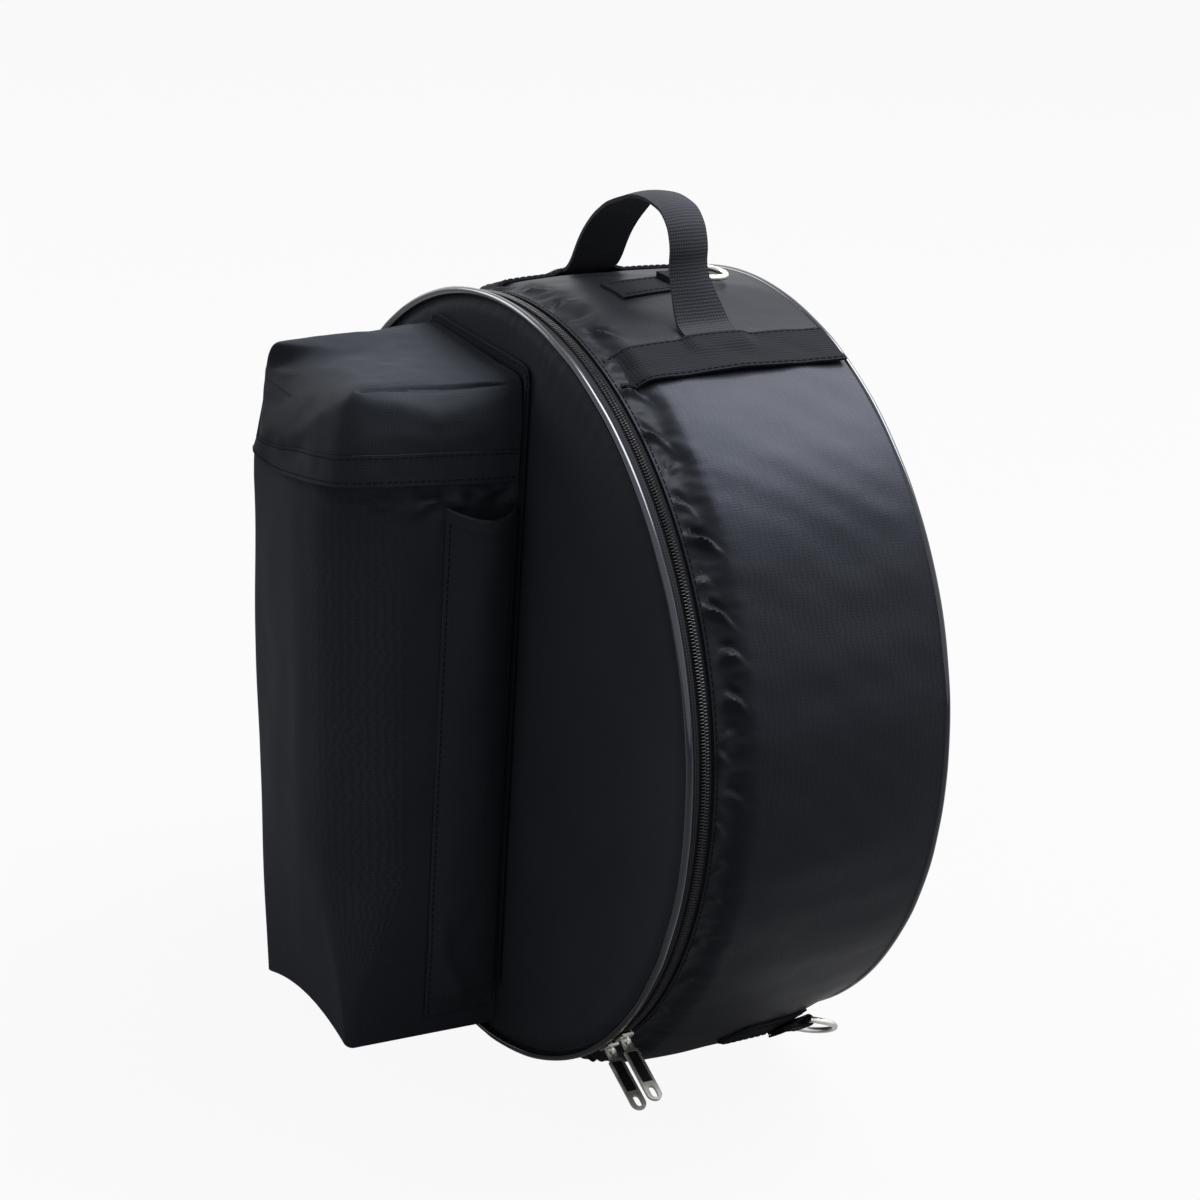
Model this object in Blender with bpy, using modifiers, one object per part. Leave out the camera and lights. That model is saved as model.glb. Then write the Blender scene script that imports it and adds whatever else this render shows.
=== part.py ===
# Snare drum bag that stands on its rim: padded round shell, zipped front lid, tall front pocket.
# X runs across the front, -Y points out of the lid, Z is up, and the origin is where the bag stands.
# "Forward" is the distance in front of the bag's middle depth, so a point's y is minus its forward.

import math

import bmesh
import bpy
from mathutils import Matrix, Vector

# Drum and padding
drum_hoop_radius = 0.188  # a 14 in snare drum is 376 mm across its hoops
hoop_room = 0.001
lining_thickness = 0.0005
foam_thickness = 0.003
cloth_thickness = 0.0012
layer_gap = 0.0003

# Rims
rim_spacing = 0.144  # between the centres of the two pipings
piping_radius = 0.0022
piping_proud = 0.0007
flat_half_angle = 5.2  # degrees of the rim that the bag's weight presses flat
ring_steps = 72
piping_sides = 6

# Zip
zip_behind_rim = 0.009
coil_gap = 0.001
coil_width = 0.0025
coil_height = 0.002
tape_thickness = 0.0007
tape_seam_width = 0.0065
tape_step = 0.0016
gusset_front_setback = 0.0055
zip_floor_gap = 0.0003
hinge_half_angle = 16.0
zip_end_angle = 17.2
slider_end_angle = 25.0  # from the hinge's middle to a parked slider's middle
zip_stop_arc = 1.2
zip_stop_room = 0.2
zip_stop_thickness = 0.0008
hinge_clearance = 0.0003

# Webbing
webbing_width = 0.029
webbing_thickness = 0.0014
band_half_spread = 21.0  # degrees each side of the top
handle_half_spread = 16.5
handle_rise = 0.05
handle_middle_y = 0.007
band_front_setback = 0.0055
handle_bow = 0.006
handle_steps = 16

# Ring patches
ring_wire_radius = 0.0016
ring_inner_width = 0.019
ring_depth = 0.018
tab_width = 0.017
tab_clearance = 0.0003
patch_width = 0.03
patch_length = 0.046
patch_point = 0.011
patch_thickness = 0.0018
tongue_length = 0.022
tongue_on_patch = 0.012
top_bar_y = 0.031
top_bar_rise = 0.0058
lower_bar_y = 0.052
lower_bar_rise = 0.0085
lower_ring_angle = 54.0  # degrees below the bag's middle, on each side
top_ring_tilt = 5.0  # degrees that a ring leans towards the bag at rest
lower_ring_tilt = -20.0

# Front pocket, placed by what it leaves free inside the rim
pocket_left = 0.069
pocket_right = 0.024
pocket_flare_foot = 0.002  # how much farther left the outer face reaches than the lid's seam
pocket_flare_mouth = 0.013
pocket_top_margin = 0.0193
pocket_bottom_margin = 0.0093
pocket_bottom_depth = 0.084
pocket_depth_gain = 0.013  # how much deeper the pocket is at its mouth
pocket_straight_run = 0.044
pocket_bottom_bow = 0.008
pocket_rim_inset = 0.006
pocket_wall = 0.0016
pocket_corner = 0.013
binding_width = 0.006
binding_thickness = 0.0012
binding_foot_margin = 0.0323

# Pocket flap
flap_drop = 0.053
mouth_below_flap = 0.021
flap_shoulder = 0.019
flap_shoulder_inset = 0.009
flap_room = 0.0036
flap_wall = 0.0014
hem_height = 0.018
hem_thickness = 0.001
strip_width = 0.064
strip_thickness = 0.0011
strip_above_hem = 0.007
strip_below_shoulder = 0.009

# Small side pocket
side_pocket_front = 0.042
side_pocket_back = 0.005
side_pocket_below_flap = 0.011
side_pocket_foot_margin = 0.011
side_pocket_mouth_bulge = 0.011
side_pocket_foot_bulge = 0.007
side_pocket_wall = 0.0012
side_pocket_seam_room = 0.0008
side_hem_height = 0.006

# Sliders and pulls
upper_slider_angle = 45.6  # degrees below the bag's middle, on the right
lower_slider_angle = 50.9
slider_length = 0.01
slider_width = 0.0082
slider_nose_length = 0.003
slider_nose_width = 0.006
slider_plate = 0.0011
slider_room = 0.0004
slider_post_length = 0.002
slider_post_setback = 0.0012
slider_flange = 0.0008
slider_flange_reach = 0.0021
bail_wire_radius = 0.0006
bail_half_length = 0.0031
bail_rise = 0.0036
pull_axis_rise = 0.0016
pull_length = 0.036
pull_width = 0.008
pull_thickness = 0.0014
pull_eye_width = 0.0024
pull_eye_length = 0.0032
pull_bar = 0.0008
pull_neck_width = 0.0052
pull_neck_length = 0.005
pull_rail = 0.0012
pull_window_length = 0.0185
pull_window_start = 0.0065
pull_slot_width = 0.0034
pull_slot_length = 0.0066
pull_end_margin = 0.0016
insert_thickness = 0.0009
pull_rest_angle = 26.0  # degrees below level

# Sizes that follow from those above
lining_inner = drum_hoop_radius + hoop_room
foam_inner = lining_inner + lining_thickness + layer_gap
cloth_inner = foam_inner + foam_thickness + layer_gap
bag_radius = cloth_inner + cloth_thickness
rim_forward = rim_spacing / 2
piping_ring = bag_radius + piping_proud - piping_radius
piping_outer = piping_ring + piping_radius
panel_radius = piping_ring - piping_radius - layer_gap
centre_height = bag_radius * math.cos(math.radians(flat_half_angle))
zip_forward = rim_forward - zip_behind_rim
coil_outer = centre_height - zip_floor_gap
coil_inner = coil_outer - coil_height
tape_outer = coil_inner - layer_gap
tape_inner = tape_outer - tape_thickness
seam_outer = cloth_inner - layer_gap
seam_inner = seam_outer - tape_thickness
gusset_front = zip_forward - gusset_front_setback
gusset_back = -rim_forward + piping_radius + layer_gap
panel_face = rim_forward + cloth_thickness / 2
foam_face = rim_forward - cloth_thickness / 2 - layer_gap
lining_face = foam_face - foam_thickness - layer_gap
padding_front = gusset_front - tape_seam_width - 2 * layer_gap
pocket_base = panel_face + layer_gap
slider_top = coil_outer + slider_room
slider_bottom = tape_inner - slider_room
pull_axis = slider_top + slider_plate + pull_axis_rise
pocket_mouth_depth = pocket_bottom_depth + pocket_depth_gain
flap_height = panel_radius - pocket_top_margin - binding_width
flap_hem_height = flap_height - flap_drop
strip_height = flap_drop - flap_shoulder - strip_above_hem - strip_below_shoulder
pocket_mouth_height = flap_height - mouth_below_flap
pocket_straight_height = pocket_mouth_height - pocket_straight_run
pocket_bottom_height = panel_radius - pocket_bottom_margin
binding_foot_height = panel_radius - binding_foot_margin
side_pocket_mouth_height = flap_hem_height - side_pocket_below_flap
side_pocket_foot_height = pocket_bottom_height - side_pocket_foot_margin

bag_name = "snare_drum_bag"


def clear_scene():
    for obj in list(bpy.data.objects):
        bpy.data.objects.remove(obj, do_unlink=True)


def add_collection(name, hidden=False):
    collection = bpy.data.collections.new(name)
    bpy.context.scene.collection.children.link(collection)
    collection.hide_render = hidden
    return collection


def make_material(name, colour, roughness, metallic=0.0):
    material = bpy.data.materials.new(name)
    material.use_nodes = True
    shader = material.node_tree.nodes["Principled BSDF"]
    shader.inputs["Base Color"].default_value = (*colour, 1.0)
    shader.inputs["Roughness"].default_value = roughness
    shader.inputs["Metallic"].default_value = metallic
    return material


clear_scene()
parts = add_collection(bag_name)
cutters = add_collection("cutters", hidden=True)

black_cloth = make_material("black_oxford_cloth", (0.012, 0.013, 0.016), 0.75)
black_webbing = make_material("black_webbing", (0.02, 0.02, 0.021), 0.85)
black_lining = make_material("black_lining", (0.02, 0.02, 0.022), 0.7)
grey_foam = make_material("grey_foam", (0.18, 0.18, 0.18), 0.95)
gloss_piping = make_material("gloss_piping", (0.015, 0.015, 0.016), 0.25)
zip_tape_cloth = make_material("zip_tape", (0.016, 0.016, 0.017), 0.8)
zip_coil_nylon = make_material("zip_coil", (0.02, 0.02, 0.02), 0.4)
nickel = make_material("nickel", (0.78, 0.76, 0.72), 0.2, 1.0)
black_enamel = make_material("black_enamel", (0.01, 0.01, 0.01), 0.35)
hook_and_loop = make_material("hook_and_loop", (0.02, 0.02, 0.02), 0.95)


def add_empty(name, place, parent=None):
    empty = bpy.data.objects.new(name, None)
    empty.location = place
    parts.objects.link(empty)
    if parent:
        hang_on(empty, parent)
    return empty


def hang_on(obj, parent):
    """Parents an object and leaves it where it is."""
    bpy.context.view_layer.update()
    place = obj.matrix_world.copy()
    obj.parent = parent
    obj.matrix_parent_inverse = parent.matrix_world.inverted()
    obj.matrix_world = place


def add_object(name, data, material, parent, placing=None):
    obj = bpy.data.objects.new(name, data)
    parts.objects.link(obj)
    data.materials.append(material)
    if placing is not None:
        obj.matrix_world = placing
    if parent:
        hang_on(obj, parent)
    return obj


def shade(mesh, sharp_angle=35.0):
    mesh.shade_smooth()
    mesh.set_sharp_from_angle(angle=math.radians(sharp_angle))


def on_disc_axis():
    """The placing of what is turned: its own Z is forward, and its middle is the bag's middle."""
    return Matrix.Translation((0, 0, centre_height)) @ Matrix.Rotation(math.radians(90), 4, "X")


def at_rim(angle, radius, y=0.0):
    """A frame on the rim: X along the rim, Y to the back, Z outwards, at an angle up from the right."""
    turn = Matrix.Rotation(math.radians(90.0 - angle), 4, "Y")
    return Matrix.Translation((0, y, centre_height)) @ turn @ Matrix.Translation((0, 0, radius))


def band(inner, outer, back, front):
    """A square ring section, run down its outer side."""
    return [(outer, front), (outer, back), (inner, back), (inner, front)]


def round_section(radius, forward, thickness_radius, sides):
    turns = [-2 * math.pi * step / sides for step in range(sides)]
    return [(radius + thickness_radius * math.cos(t), forward + thickness_radius * math.sin(t)) for t in turns]


def turned_ring(name, section, material, parent):
    """A whole ring: the section turned about the disc's axis."""
    mesh = bpy.data.meshes.new(name)
    count = len(section)
    mesh.from_pydata([(r, 0, f) for r, f in section], [(i, (i + 1) % count) for i in range(count)], [])
    obj = add_object(name, mesh, material, parent, on_disc_axis())
    screw = obj.modifiers.new("turn", "SCREW")
    screw.steps = ring_steps
    screw.render_steps = ring_steps
    screw.use_merge_vertices = True
    screw.merge_threshold = 0.00001
    return obj


def turned_arc(name, section, start, end, material, parent):
    """Part of a ring, from one angle to another, with its ends closed."""
    bm = bmesh.new()
    angle = math.radians(start)
    corners = [bm.verts.new((r * math.cos(angle), r * math.sin(angle), f)) for r, f in section]
    face = bm.faces.new(corners)
    steps = max(2, round((end - start) * ring_steps / 360))
    bmesh.ops.spin(
        bm,
        geom=[face, *face.verts, *face.edges],
        cent=(0, 0, 0),
        axis=(0, 0, 1),
        angle=math.radians(end - start),
        steps=steps,
        use_duplicate=False,
    )
    bmesh.ops.recalc_face_normals(bm, faces=bm.faces)
    mesh = bpy.data.meshes.new(name)
    bm.to_mesh(mesh)
    bm.free()
    shade(mesh)
    return add_object(name, mesh, material, parent, on_disc_axis())


def round_panel(name, radius, front_face, thickness, material, parent):
    bm = bmesh.new()
    bmesh.ops.create_cone(
        bm, cap_ends=True, segments=ring_steps, radius1=radius, radius2=radius, depth=thickness
    )
    bmesh.ops.translate(bm, verts=bm.verts, vec=(0, 0, front_face - thickness / 2))
    mesh = bpy.data.meshes.new(name)
    bm.to_mesh(mesh)
    bm.free()
    shade(mesh)
    return add_object(name, mesh, material, parent, on_disc_axis())


def flat_outline(name, outlines, thickness, material, parent, placing):
    """A plate of even thickness, centred on its own XY plane. Outlines after the first are holes."""
    curve = bpy.data.curves.new(name, "CURVE")
    curve.dimensions = "2D"
    curve.fill_mode = "BOTH"
    curve.extrude = thickness / 2
    for outline in outlines:
        spline = curve.splines.new("POLY")
        spline.points.add(len(outline) - 1)
        for point, (x, y) in zip(spline.points, outline):
            point.co = (x, y, 0, 1)
        spline.use_cyclic_u = True
    return add_object(name, curve, material, parent, placing)


def wire(name, points, radius, cyclic, material, parent, placing):
    curve = bpy.data.curves.new(name, "CURVE")
    curve.dimensions = "3D"
    curve.bevel_depth = radius
    curve.bevel_resolution = 2
    curve.use_fill_caps = True
    spline = curve.splines.new("POLY")
    spline.points.add(len(points) - 1)
    for point, place in zip(spline.points, points):
        point.co = (*place, 1)
    spline.use_cyclic_u = cyclic
    return add_object(name, curve, material, parent, placing)


def arc_points(centre, radius, start, end, steps):
    turns = [math.radians(start + (end - start) * step / steps) for step in range(steps + 1)]
    return [(centre[0] + radius * math.cos(t), centre[1] + radius * math.sin(t)) for t in turns]


def cut(obj, cutter):
    boolean = obj.modifiers.new("cut", "BOOLEAN")
    boolean.operation = "DIFFERENCE"
    boolean.solver = "EXACT"
    boolean.object = cutter


def add_cutter_box(name, low, high):
    bm = bmesh.new()
    bmesh.ops.create_cube(bm, size=1)
    size = [b - a for a, b in zip(low, high)]
    middle = [(a + b) / 2 for a, b in zip(low, high)]
    bmesh.ops.scale(bm, vec=size, verts=bm.verts)
    bmesh.ops.translate(bm, vec=middle, verts=bm.verts)
    mesh = bpy.data.meshes.new(name)
    bm.to_mesh(mesh)
    bm.free()
    obj = bpy.data.objects.new(name, mesh)
    cutters.objects.link(obj)
    obj.hide_render = True
    obj.display_type = "WIRE"
    return obj


def floor_cutter(name, height):
    reach = 2 * bag_radius
    return add_cutter_box(name, (-reach, -reach, height - bag_radius), (reach, reach, height))


def solidify(obj, thickness, offset):
    shell = obj.modifiers.new("wall", "SOLIDIFY")
    shell.thickness = thickness
    shell.offset = offset
    shell.use_even_offset = True


def lofted_sheet(name, rows, closed_foot, closed_top, material, parent, wall):
    """A sheet through rows of points, with its foot or top closed, given its wall on the inner side."""
    bm = bmesh.new()
    lines = [[bm.verts.new(point) for point in row] for row in rows]
    for low, high in zip(lines, lines[1:]):
        for i in range(len(low) - 1):
            bm.faces.new((low[i], low[i + 1], high[i + 1], high[i]))
    if closed_foot:
        bm.faces.new(reversed(lines[0]))
    if closed_top:
        bm.faces.new(lines[-1])
    bmesh.ops.recalc_face_normals(bm, faces=bm.faces)
    middle = sum((v.co for v in bm.verts), Vector()) / len(bm.verts)
    first = bm.faces[:][0]
    if first.normal.dot(first.calc_center_median() - middle) < 0:
        bmesh.ops.reverse_faces(bm, faces=bm.faces)
    mesh = bpy.data.meshes.new(name)
    bm.to_mesh(mesh)
    bm.free()
    shade(mesh)
    obj = add_object(name, mesh, material, parent)
    solidify(obj, wall, -1.0)
    return obj


# Shell

bag = add_empty("bag", (0, 0, centre_height))


def build_shell():
    floor = floor_cutter("floor", 0)
    cloth = turned_ring(
        "gusset_cloth", band(cloth_inner, bag_radius, gusset_back, gusset_front), black_cloth, bag
    )
    cut(cloth, floor)
    foam_back = -foam_face + foam_thickness + layer_gap
    turned_ring(
        "gusset_foam", band(foam_inner, foam_inner + foam_thickness, gusset_back, padding_front), grey_foam, bag
    )
    turned_ring(
        "gusset_lining", band(lining_inner, lining_inner + lining_thickness, foam_back, padding_front), black_lining, bag
    )
    back_face = -rim_forward + cloth_thickness / 2
    padding_radius = foam_inner - layer_gap
    round_panel("back_cloth", panel_radius, back_face, cloth_thickness, black_cloth, bag)
    round_panel("back_foam", padding_radius, -foam_face + foam_thickness, foam_thickness, grey_foam, bag)
    round_panel(
        "back_lining", lining_inner - layer_gap, -lining_face + lining_thickness, lining_thickness, black_lining, bag
    )
    piping = turned_ring(
        "rear_piping", round_section(piping_ring, -rim_forward, piping_radius, piping_sides), gloss_piping, bag
    )
    cut(piping, floor)


def tape_section(side):
    """The zip tape: low beside the coil, then stepped out to its seam. Side is 1 on the lid, -1 on the shell."""
    inner_edge = coil_gap / 2
    coil_side = inner_edge + coil_width
    if side > 0:
        step_end = zip_behind_rim - piping_radius - layer_gap
        step_start = step_end - tape_step
        seam_end = None
    else:
        step_start = gusset_front_setback - tape_step / 2
        step_end = gusset_front_setback + tape_step
        seam_end = gusset_front_setback + tape_seam_width
    step_start = max(step_start, coil_side)
    outer = [(tape_outer, inner_edge), (tape_outer, step_start), (seam_outer, step_end)]
    inner = [(seam_inner, step_end), (tape_inner, step_start), (tape_inner, inner_edge)]
    if seam_end:
        outer.append((seam_outer, seam_end))
        inner.insert(0, (seam_inner, seam_end))
    return [(r, zip_forward + side * f) for r, f in outer + inner]


def coil_section(side):
    near = zip_forward + side * coil_gap / 2
    far = near + side * coil_width
    return [(coil_outer, near), (coil_outer, far), (coil_inner, far), (coil_inner, near)]


def build_zip(parent, side, suffix):
    start = 180.0 + zip_end_angle - 360.0
    end = 180.0 - zip_end_angle
    turned_arc("zip_tape_" + suffix, tape_section(side), start, end, zip_tape_cloth, parent)
    turned_arc("zip_coil_" + suffix, coil_section(side), start, end, zip_coil_nylon, parent)
    section = tape_section(side)
    turned_arc(
        "hinge_strip_" + suffix, section, 180.0 - hinge_half_angle, 180.0 + hinge_half_angle, black_cloth, parent
    )


def build_zip_stops():
    """A crimp on the shell's coil at each end, where a slider parks."""
    inner = coil_outer + layer_gap
    back = zip_forward - coil_gap / 2 - coil_width
    section = band(inner, inner + zip_stop_thickness, back, zip_forward - coil_gap / 2)
    near = slider_end_angle - math.degrees(slider_length / 2 / coil_outer) - zip_stop_room
    turned_arc("zip_stop_upper", section, 180 - near, 180 - near + zip_stop_arc, nickel, bag)
    turned_arc("zip_stop_lower", section, 180 + near - zip_stop_arc, 180 + near, nickel, bag)


# Lid

lid_hinge = add_empty("lid_hinge", (-piping_outer - hinge_clearance, -zip_forward, centre_height), bag)


def build_lid():
    padding_radius = foam_inner - layer_gap
    round_panel("lid_cloth", panel_radius, panel_face, cloth_thickness, black_cloth, lid_hinge)
    round_panel("lid_foam", padding_radius, foam_face, foam_thickness, grey_foam, lid_hinge)
    round_panel("lid_lining", lining_inner - layer_gap, lining_face, lining_thickness, black_lining, lid_hinge)
    piping = turned_ring(
        "front_piping", round_section(piping_ring, rim_forward, piping_radius, piping_sides), gloss_piping, lid_hinge
    )
    cut(piping, floor_cutter("floor_under_lid", layer_gap))


# Front pocket


def up_the_pocket(height, at_foot, at_mouth):
    """A size that grows from the pocket's foot to where its outer face turns upright."""
    share = (height + pocket_bottom_height) / (pocket_straight_height + pocket_bottom_height)
    return at_foot + (at_mouth - at_foot) * min(1.0, share)


def pocket_contour(
    depth, flare, seam_flare=0.0, grow=0.0, start=0.0, corner=pocket_corner, corner_steps=3, face_steps=4
):
    """The pocket's outline seen from above, as (x, depth), from the right side round to the left."""
    right = pocket_right + grow
    left = -pocket_left - flare - grow
    deep = depth + grow
    points = [(right, start)]
    points += arc_points((right - corner, deep - corner), corner, 0, 90, corner_steps)
    across = right - left - 2 * corner
    points += [(right - corner - across * step / face_steps, deep) for step in range(1, face_steps)]
    points += arc_points((left + corner, deep - corner), corner, 90, 180, corner_steps)
    points.append((left + flare - seam_flare, start))
    return points


def pocket_foot(x, depth):
    """Height of the pocket's bottom: round beside the rim, and bowed up along the outer face."""
    rim = math.sqrt((panel_radius - pocket_rim_inset) ** 2 - x**2)
    u = (x + pocket_left + pocket_flare_foot) / (pocket_left + pocket_flare_foot + pocket_right)
    bowed = pocket_bottom_height - pocket_bottom_bow * 4 * u * (1 - u)
    share = min(1.0, max(0.0, depth / pocket_bottom_depth))
    return -(rim + (bowed - rim) * share)


def build_pocket():
    start = layer_gap
    heights_share = (0.35, 0.7, 1.0)
    span = pocket_straight_height + pocket_bottom_height
    heights = [share * span - pocket_bottom_height for share in heights_share] + [pocket_mouth_height]
    foot = [
        (x, -panel_face - depth, centre_height + pocket_foot(x, depth))
        for x, depth in pocket_contour(pocket_bottom_depth, pocket_flare_foot, start=start)
    ]
    rows = [foot]
    for height in heights:
        depth = up_the_pocket(height, pocket_bottom_depth, pocket_mouth_depth)
        flare = up_the_pocket(height, pocket_flare_foot, pocket_flare_mouth)
        contour = pocket_contour(depth, flare, start=start)
        rows.append([(x, -panel_face - depth, centre_height + height) for x, depth in contour])
    lofted_sheet("pocket_body", rows, True, False, black_cloth, lid_hinge, pocket_wall)
    build_pocket_binding()
    strip_bottom = flap_hem_height + strip_above_hem
    place_strip("pocket_loop_strip", pocket_mouth_depth + layer_gap, strip_bottom, lid_hinge)
    build_side_pocket()


def place_strip(name, depth, bottom, parent):
    """A flat closing strip that faces forward, its back at a depth in front of the lid."""
    middle = ((pocket_right - pocket_left) / 2, -panel_face - depth - strip_thickness / 2)
    placing = Matrix.Translation((middle[0], middle[1], centre_height + bottom + strip_height / 2))
    placing = placing @ Matrix.Rotation(math.radians(90), 4, "X")
    half = (strip_width / 2, strip_height / 2)
    outline = [(-half[0], -half[1]), (half[0], -half[1]), (half[0], half[1]), (-half[0], half[1])]
    flat_outline(name, [outline], strip_thickness, hook_and_loop, parent, placing)


def build_pocket_binding():
    """The bound seam allowance round the pocket's sides and top, lying on the lid."""
    inner_right = pocket_right + layer_gap
    inner_left = -pocket_left - layer_gap
    outer_right = inner_right + binding_width
    outer_left = inner_left - binding_width
    top = flap_height + binding_width
    inner_top = pocket_mouth_height
    foot = -binding_foot_height
    outline = [
        (inner_right, foot),
        (outer_right, foot),
        (outer_right, top - binding_width),
        (outer_right - binding_width, top),
        (outer_left + binding_width, top),
        (outer_left, top - binding_width),
        (outer_left, foot),
        (inner_left, foot),
        (inner_left, inner_top + layer_gap),
        (inner_right, inner_top + layer_gap),
    ]
    middle = -pocket_base - binding_thickness / 2
    placing = Matrix.Translation((0, middle, centre_height)) @ Matrix.Rotation(math.radians(90), 4, "X")
    flat_outline("pocket_binding", [outline], binding_thickness, black_webbing, lid_hinge, placing)


def side_pocket_row(bulge, height, offset=0.0, steps=6):
    """One level of the small pocket's bowed sheet, from its front seam to the lid, moved out by an offset."""
    seam = pocket_right + layer_gap + side_pocket_wall + side_pocket_seam_room
    run = side_pocket_back - side_pocket_front
    row = []
    for step in range(steps + 1):
        share = step / steps
        out = bulge * 4 * share * (1 - share)
        outward = Vector((1, -bulge * 4 * (1 - 2 * share) / run)).normalized() * offset
        depth = side_pocket_front + run * share + outward.y
        row.append((seam + out + outward.x, -panel_face - depth, height))
    return row


def build_side_pocket():
    mouth = centre_height + side_pocket_mouth_height
    foot = centre_height - side_pocket_foot_height
    rows = [
        side_pocket_row(side_pocket_foot_bulge, foot),
        side_pocket_row((side_pocket_foot_bulge + side_pocket_mouth_bulge) / 2, (foot + mouth) / 2),
        side_pocket_row(side_pocket_mouth_bulge, mouth),
    ]
    lofted_sheet("side_pocket", rows, True, False, black_cloth, lid_hinge, side_pocket_wall)
    hem_gap = hem_thickness + layer_gap
    hem_foot = mouth - side_hem_height
    rows = [
        side_pocket_row(side_pocket_mouth_bulge, hem_foot, hem_gap),
        side_pocket_row(side_pocket_mouth_bulge, mouth, hem_gap),
    ]
    lofted_sheet("side_pocket_hem", rows, False, False, black_webbing, lid_hinge, hem_thickness)


# Pocket flap

flap_back = binding_thickness + 2 * layer_gap
flap_hinge = add_empty(
    "flap_hinge",
    ((pocket_right - pocket_left) / 2, -panel_face - flap_back, centre_height + flap_height),
    lid_hinge,
)


def flap_row(height, grow, flare=pocket_flare_mouth):
    """One level of the flap, whose left wall is straight so that it swings clear of the flared pocket."""
    contour = pocket_contour(pocket_mouth_depth, flare, flare, grow, flap_back, pocket_corner + grow)
    return [(x, -panel_face - depth, centre_height + height) for x, depth in contour]


def build_flap():
    outside = flap_room + flap_wall
    rows = [
        flap_row(flap_hem_height, outside),
        flap_row(flap_height - flap_shoulder, outside),
        flap_row(flap_height, outside - flap_shoulder_inset, pocket_flare_foot),
    ]
    lofted_sheet("pocket_flap", rows, False, True, black_cloth, flap_hinge, flap_wall)
    hem = outside + layer_gap + hem_thickness
    rows = [flap_row(flap_hem_height, hem), flap_row(flap_hem_height + hem_height, hem)]
    lofted_sheet("flap_hem", rows, False, False, black_webbing, flap_hinge, hem_thickness)
    strip_depth = pocket_mouth_depth + flap_room - layer_gap - strip_thickness
    place_strip("flap_hook_strip", strip_depth, flap_hem_height + strip_above_hem, flap_hinge)


# Webbing on the shell


def build_bands():
    half = math.degrees(webbing_width / 2 / bag_radius)
    inner = bag_radius + layer_gap
    section = band(inner, inner + webbing_thickness, gusset_back + layer_gap, gusset_front - band_front_setback)
    for name, angle in (("band_right", 90.0 - band_half_spread), ("band_left", 90.0 + band_half_spread)):
        turned_arc(name, section, angle - half, angle + half, black_webbing, bag)


def handle_line():
    """The handle's middle line, from its right foot over to its left foot."""
    foot_radius = bag_radius + layer_gap + webbing_thickness
    spread = math.radians(handle_half_spread)
    foot_x = foot_radius * math.sin(spread)
    foot_z = foot_radius * math.cos(spread)
    top_z = bag_radius + handle_rise
    points = []
    for step in range(handle_steps + 1):
        turn = math.pi * step / handle_steps
        x = foot_x * math.cos(turn) * (1 - handle_bow / foot_x * math.sin(turn) ** 2)
        points.append(Vector((x, foot_z + (top_z - foot_z) * math.sin(turn) ** 0.8)))
    return points


def build_handle():
    line = handle_line()
    outer = []
    inner = []
    for i, point in enumerate(line):
        along = line[min(i + 1, len(line) - 1)] - line[max(i - 1, 0)]
        side = Vector((along.y, -along.x)).normalized() * webbing_thickness / 2
        outer.append(point + side)
        inner.append(point - side)
    outline = [(p.x, p.y) for p in outer + inner[::-1]]
    placing = Matrix.Translation((0, handle_middle_y, centre_height)) @ Matrix.Rotation(math.radians(90), 4, "X")
    flat_outline("handle", [outline], webbing_width, black_webbing, bag, placing)


# Rings on their patches


def build_ring(suffix, angle, bar_y, bar_rise, rest_tilt):
    """A pointed patch, a tab of webbing folded round the bar, and the ring, at one place on the rim."""
    patch_back = bar_y - ring_wire_radius - tab_clearance - webbing_thickness - layer_gap
    patch_front = patch_back - patch_length
    half = patch_width / 2
    outline = [
        (-half, patch_back),
        (-half, patch_front + patch_point),
        (0, patch_front),
        (half, patch_front + patch_point),
        (half, patch_back),
    ]
    patch_level = bag_radius + layer_gap
    placing = at_rim(angle, patch_level + patch_thickness / 2)
    flat_outline("patch_" + suffix, [outline], patch_thickness, black_webbing, bag, placing)
    tongue_level = patch_thickness + 2 * layer_gap
    hole = ring_wire_radius + tab_clearance
    loop = hole + webbing_thickness
    bend_y = patch_back - tongue_length + tongue_on_patch
    lean = math.degrees(math.atan2(bar_rise - loop - tongue_level, bar_y - bend_y))
    outline = [(patch_back - tongue_length, tongue_level), (bend_y, tongue_level)]
    outline += arc_points((bar_y, bar_rise), loop, -90 + lean, 120 + lean, 10)
    outline += [(bend_y, tongue_level + webbing_thickness)]
    outline += [(patch_back - tongue_length, tongue_level + webbing_thickness)]
    bar_hole = arc_points((bar_y, bar_rise), hole, 0, 324, 9)
    # The tab's outline lies in the plane that holds Y and the outward direction.
    upright = Matrix(((0, 0, 1, 0), (1, 0, 0, 0), (0, 1, 0, 0), (0, 0, 0, 1)))
    placing = at_rim(angle, bag_radius) @ upright
    flat_outline("ring_tab_" + suffix, [outline, bar_hole], tab_width, black_webbing, bag, placing)
    pivot = add_empty("ring_pivot_" + suffix, (0, 0, 0), bag)
    pivot.matrix_world = at_rim(angle, bag_radius + bar_rise, bar_y)
    bpy.context.view_layer.update()
    reach = ring_inner_width / 2 + ring_wire_radius
    straight = ring_depth - reach
    bow = arc_points((0, straight), reach, 0, 180, 12)
    points = [(x, y, 0) for x, y in bow] + [(-reach, 0, 0), (reach, 0, 0)]
    tilt = Matrix.Rotation(math.radians(-rest_tilt), 4, "X")
    placing = at_rim(angle, bag_radius + bar_rise, bar_y) @ tilt
    wire("d_ring_" + suffix, points, ring_wire_radius, True, nickel, pivot, placing)


# Sliders and pulls


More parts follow.
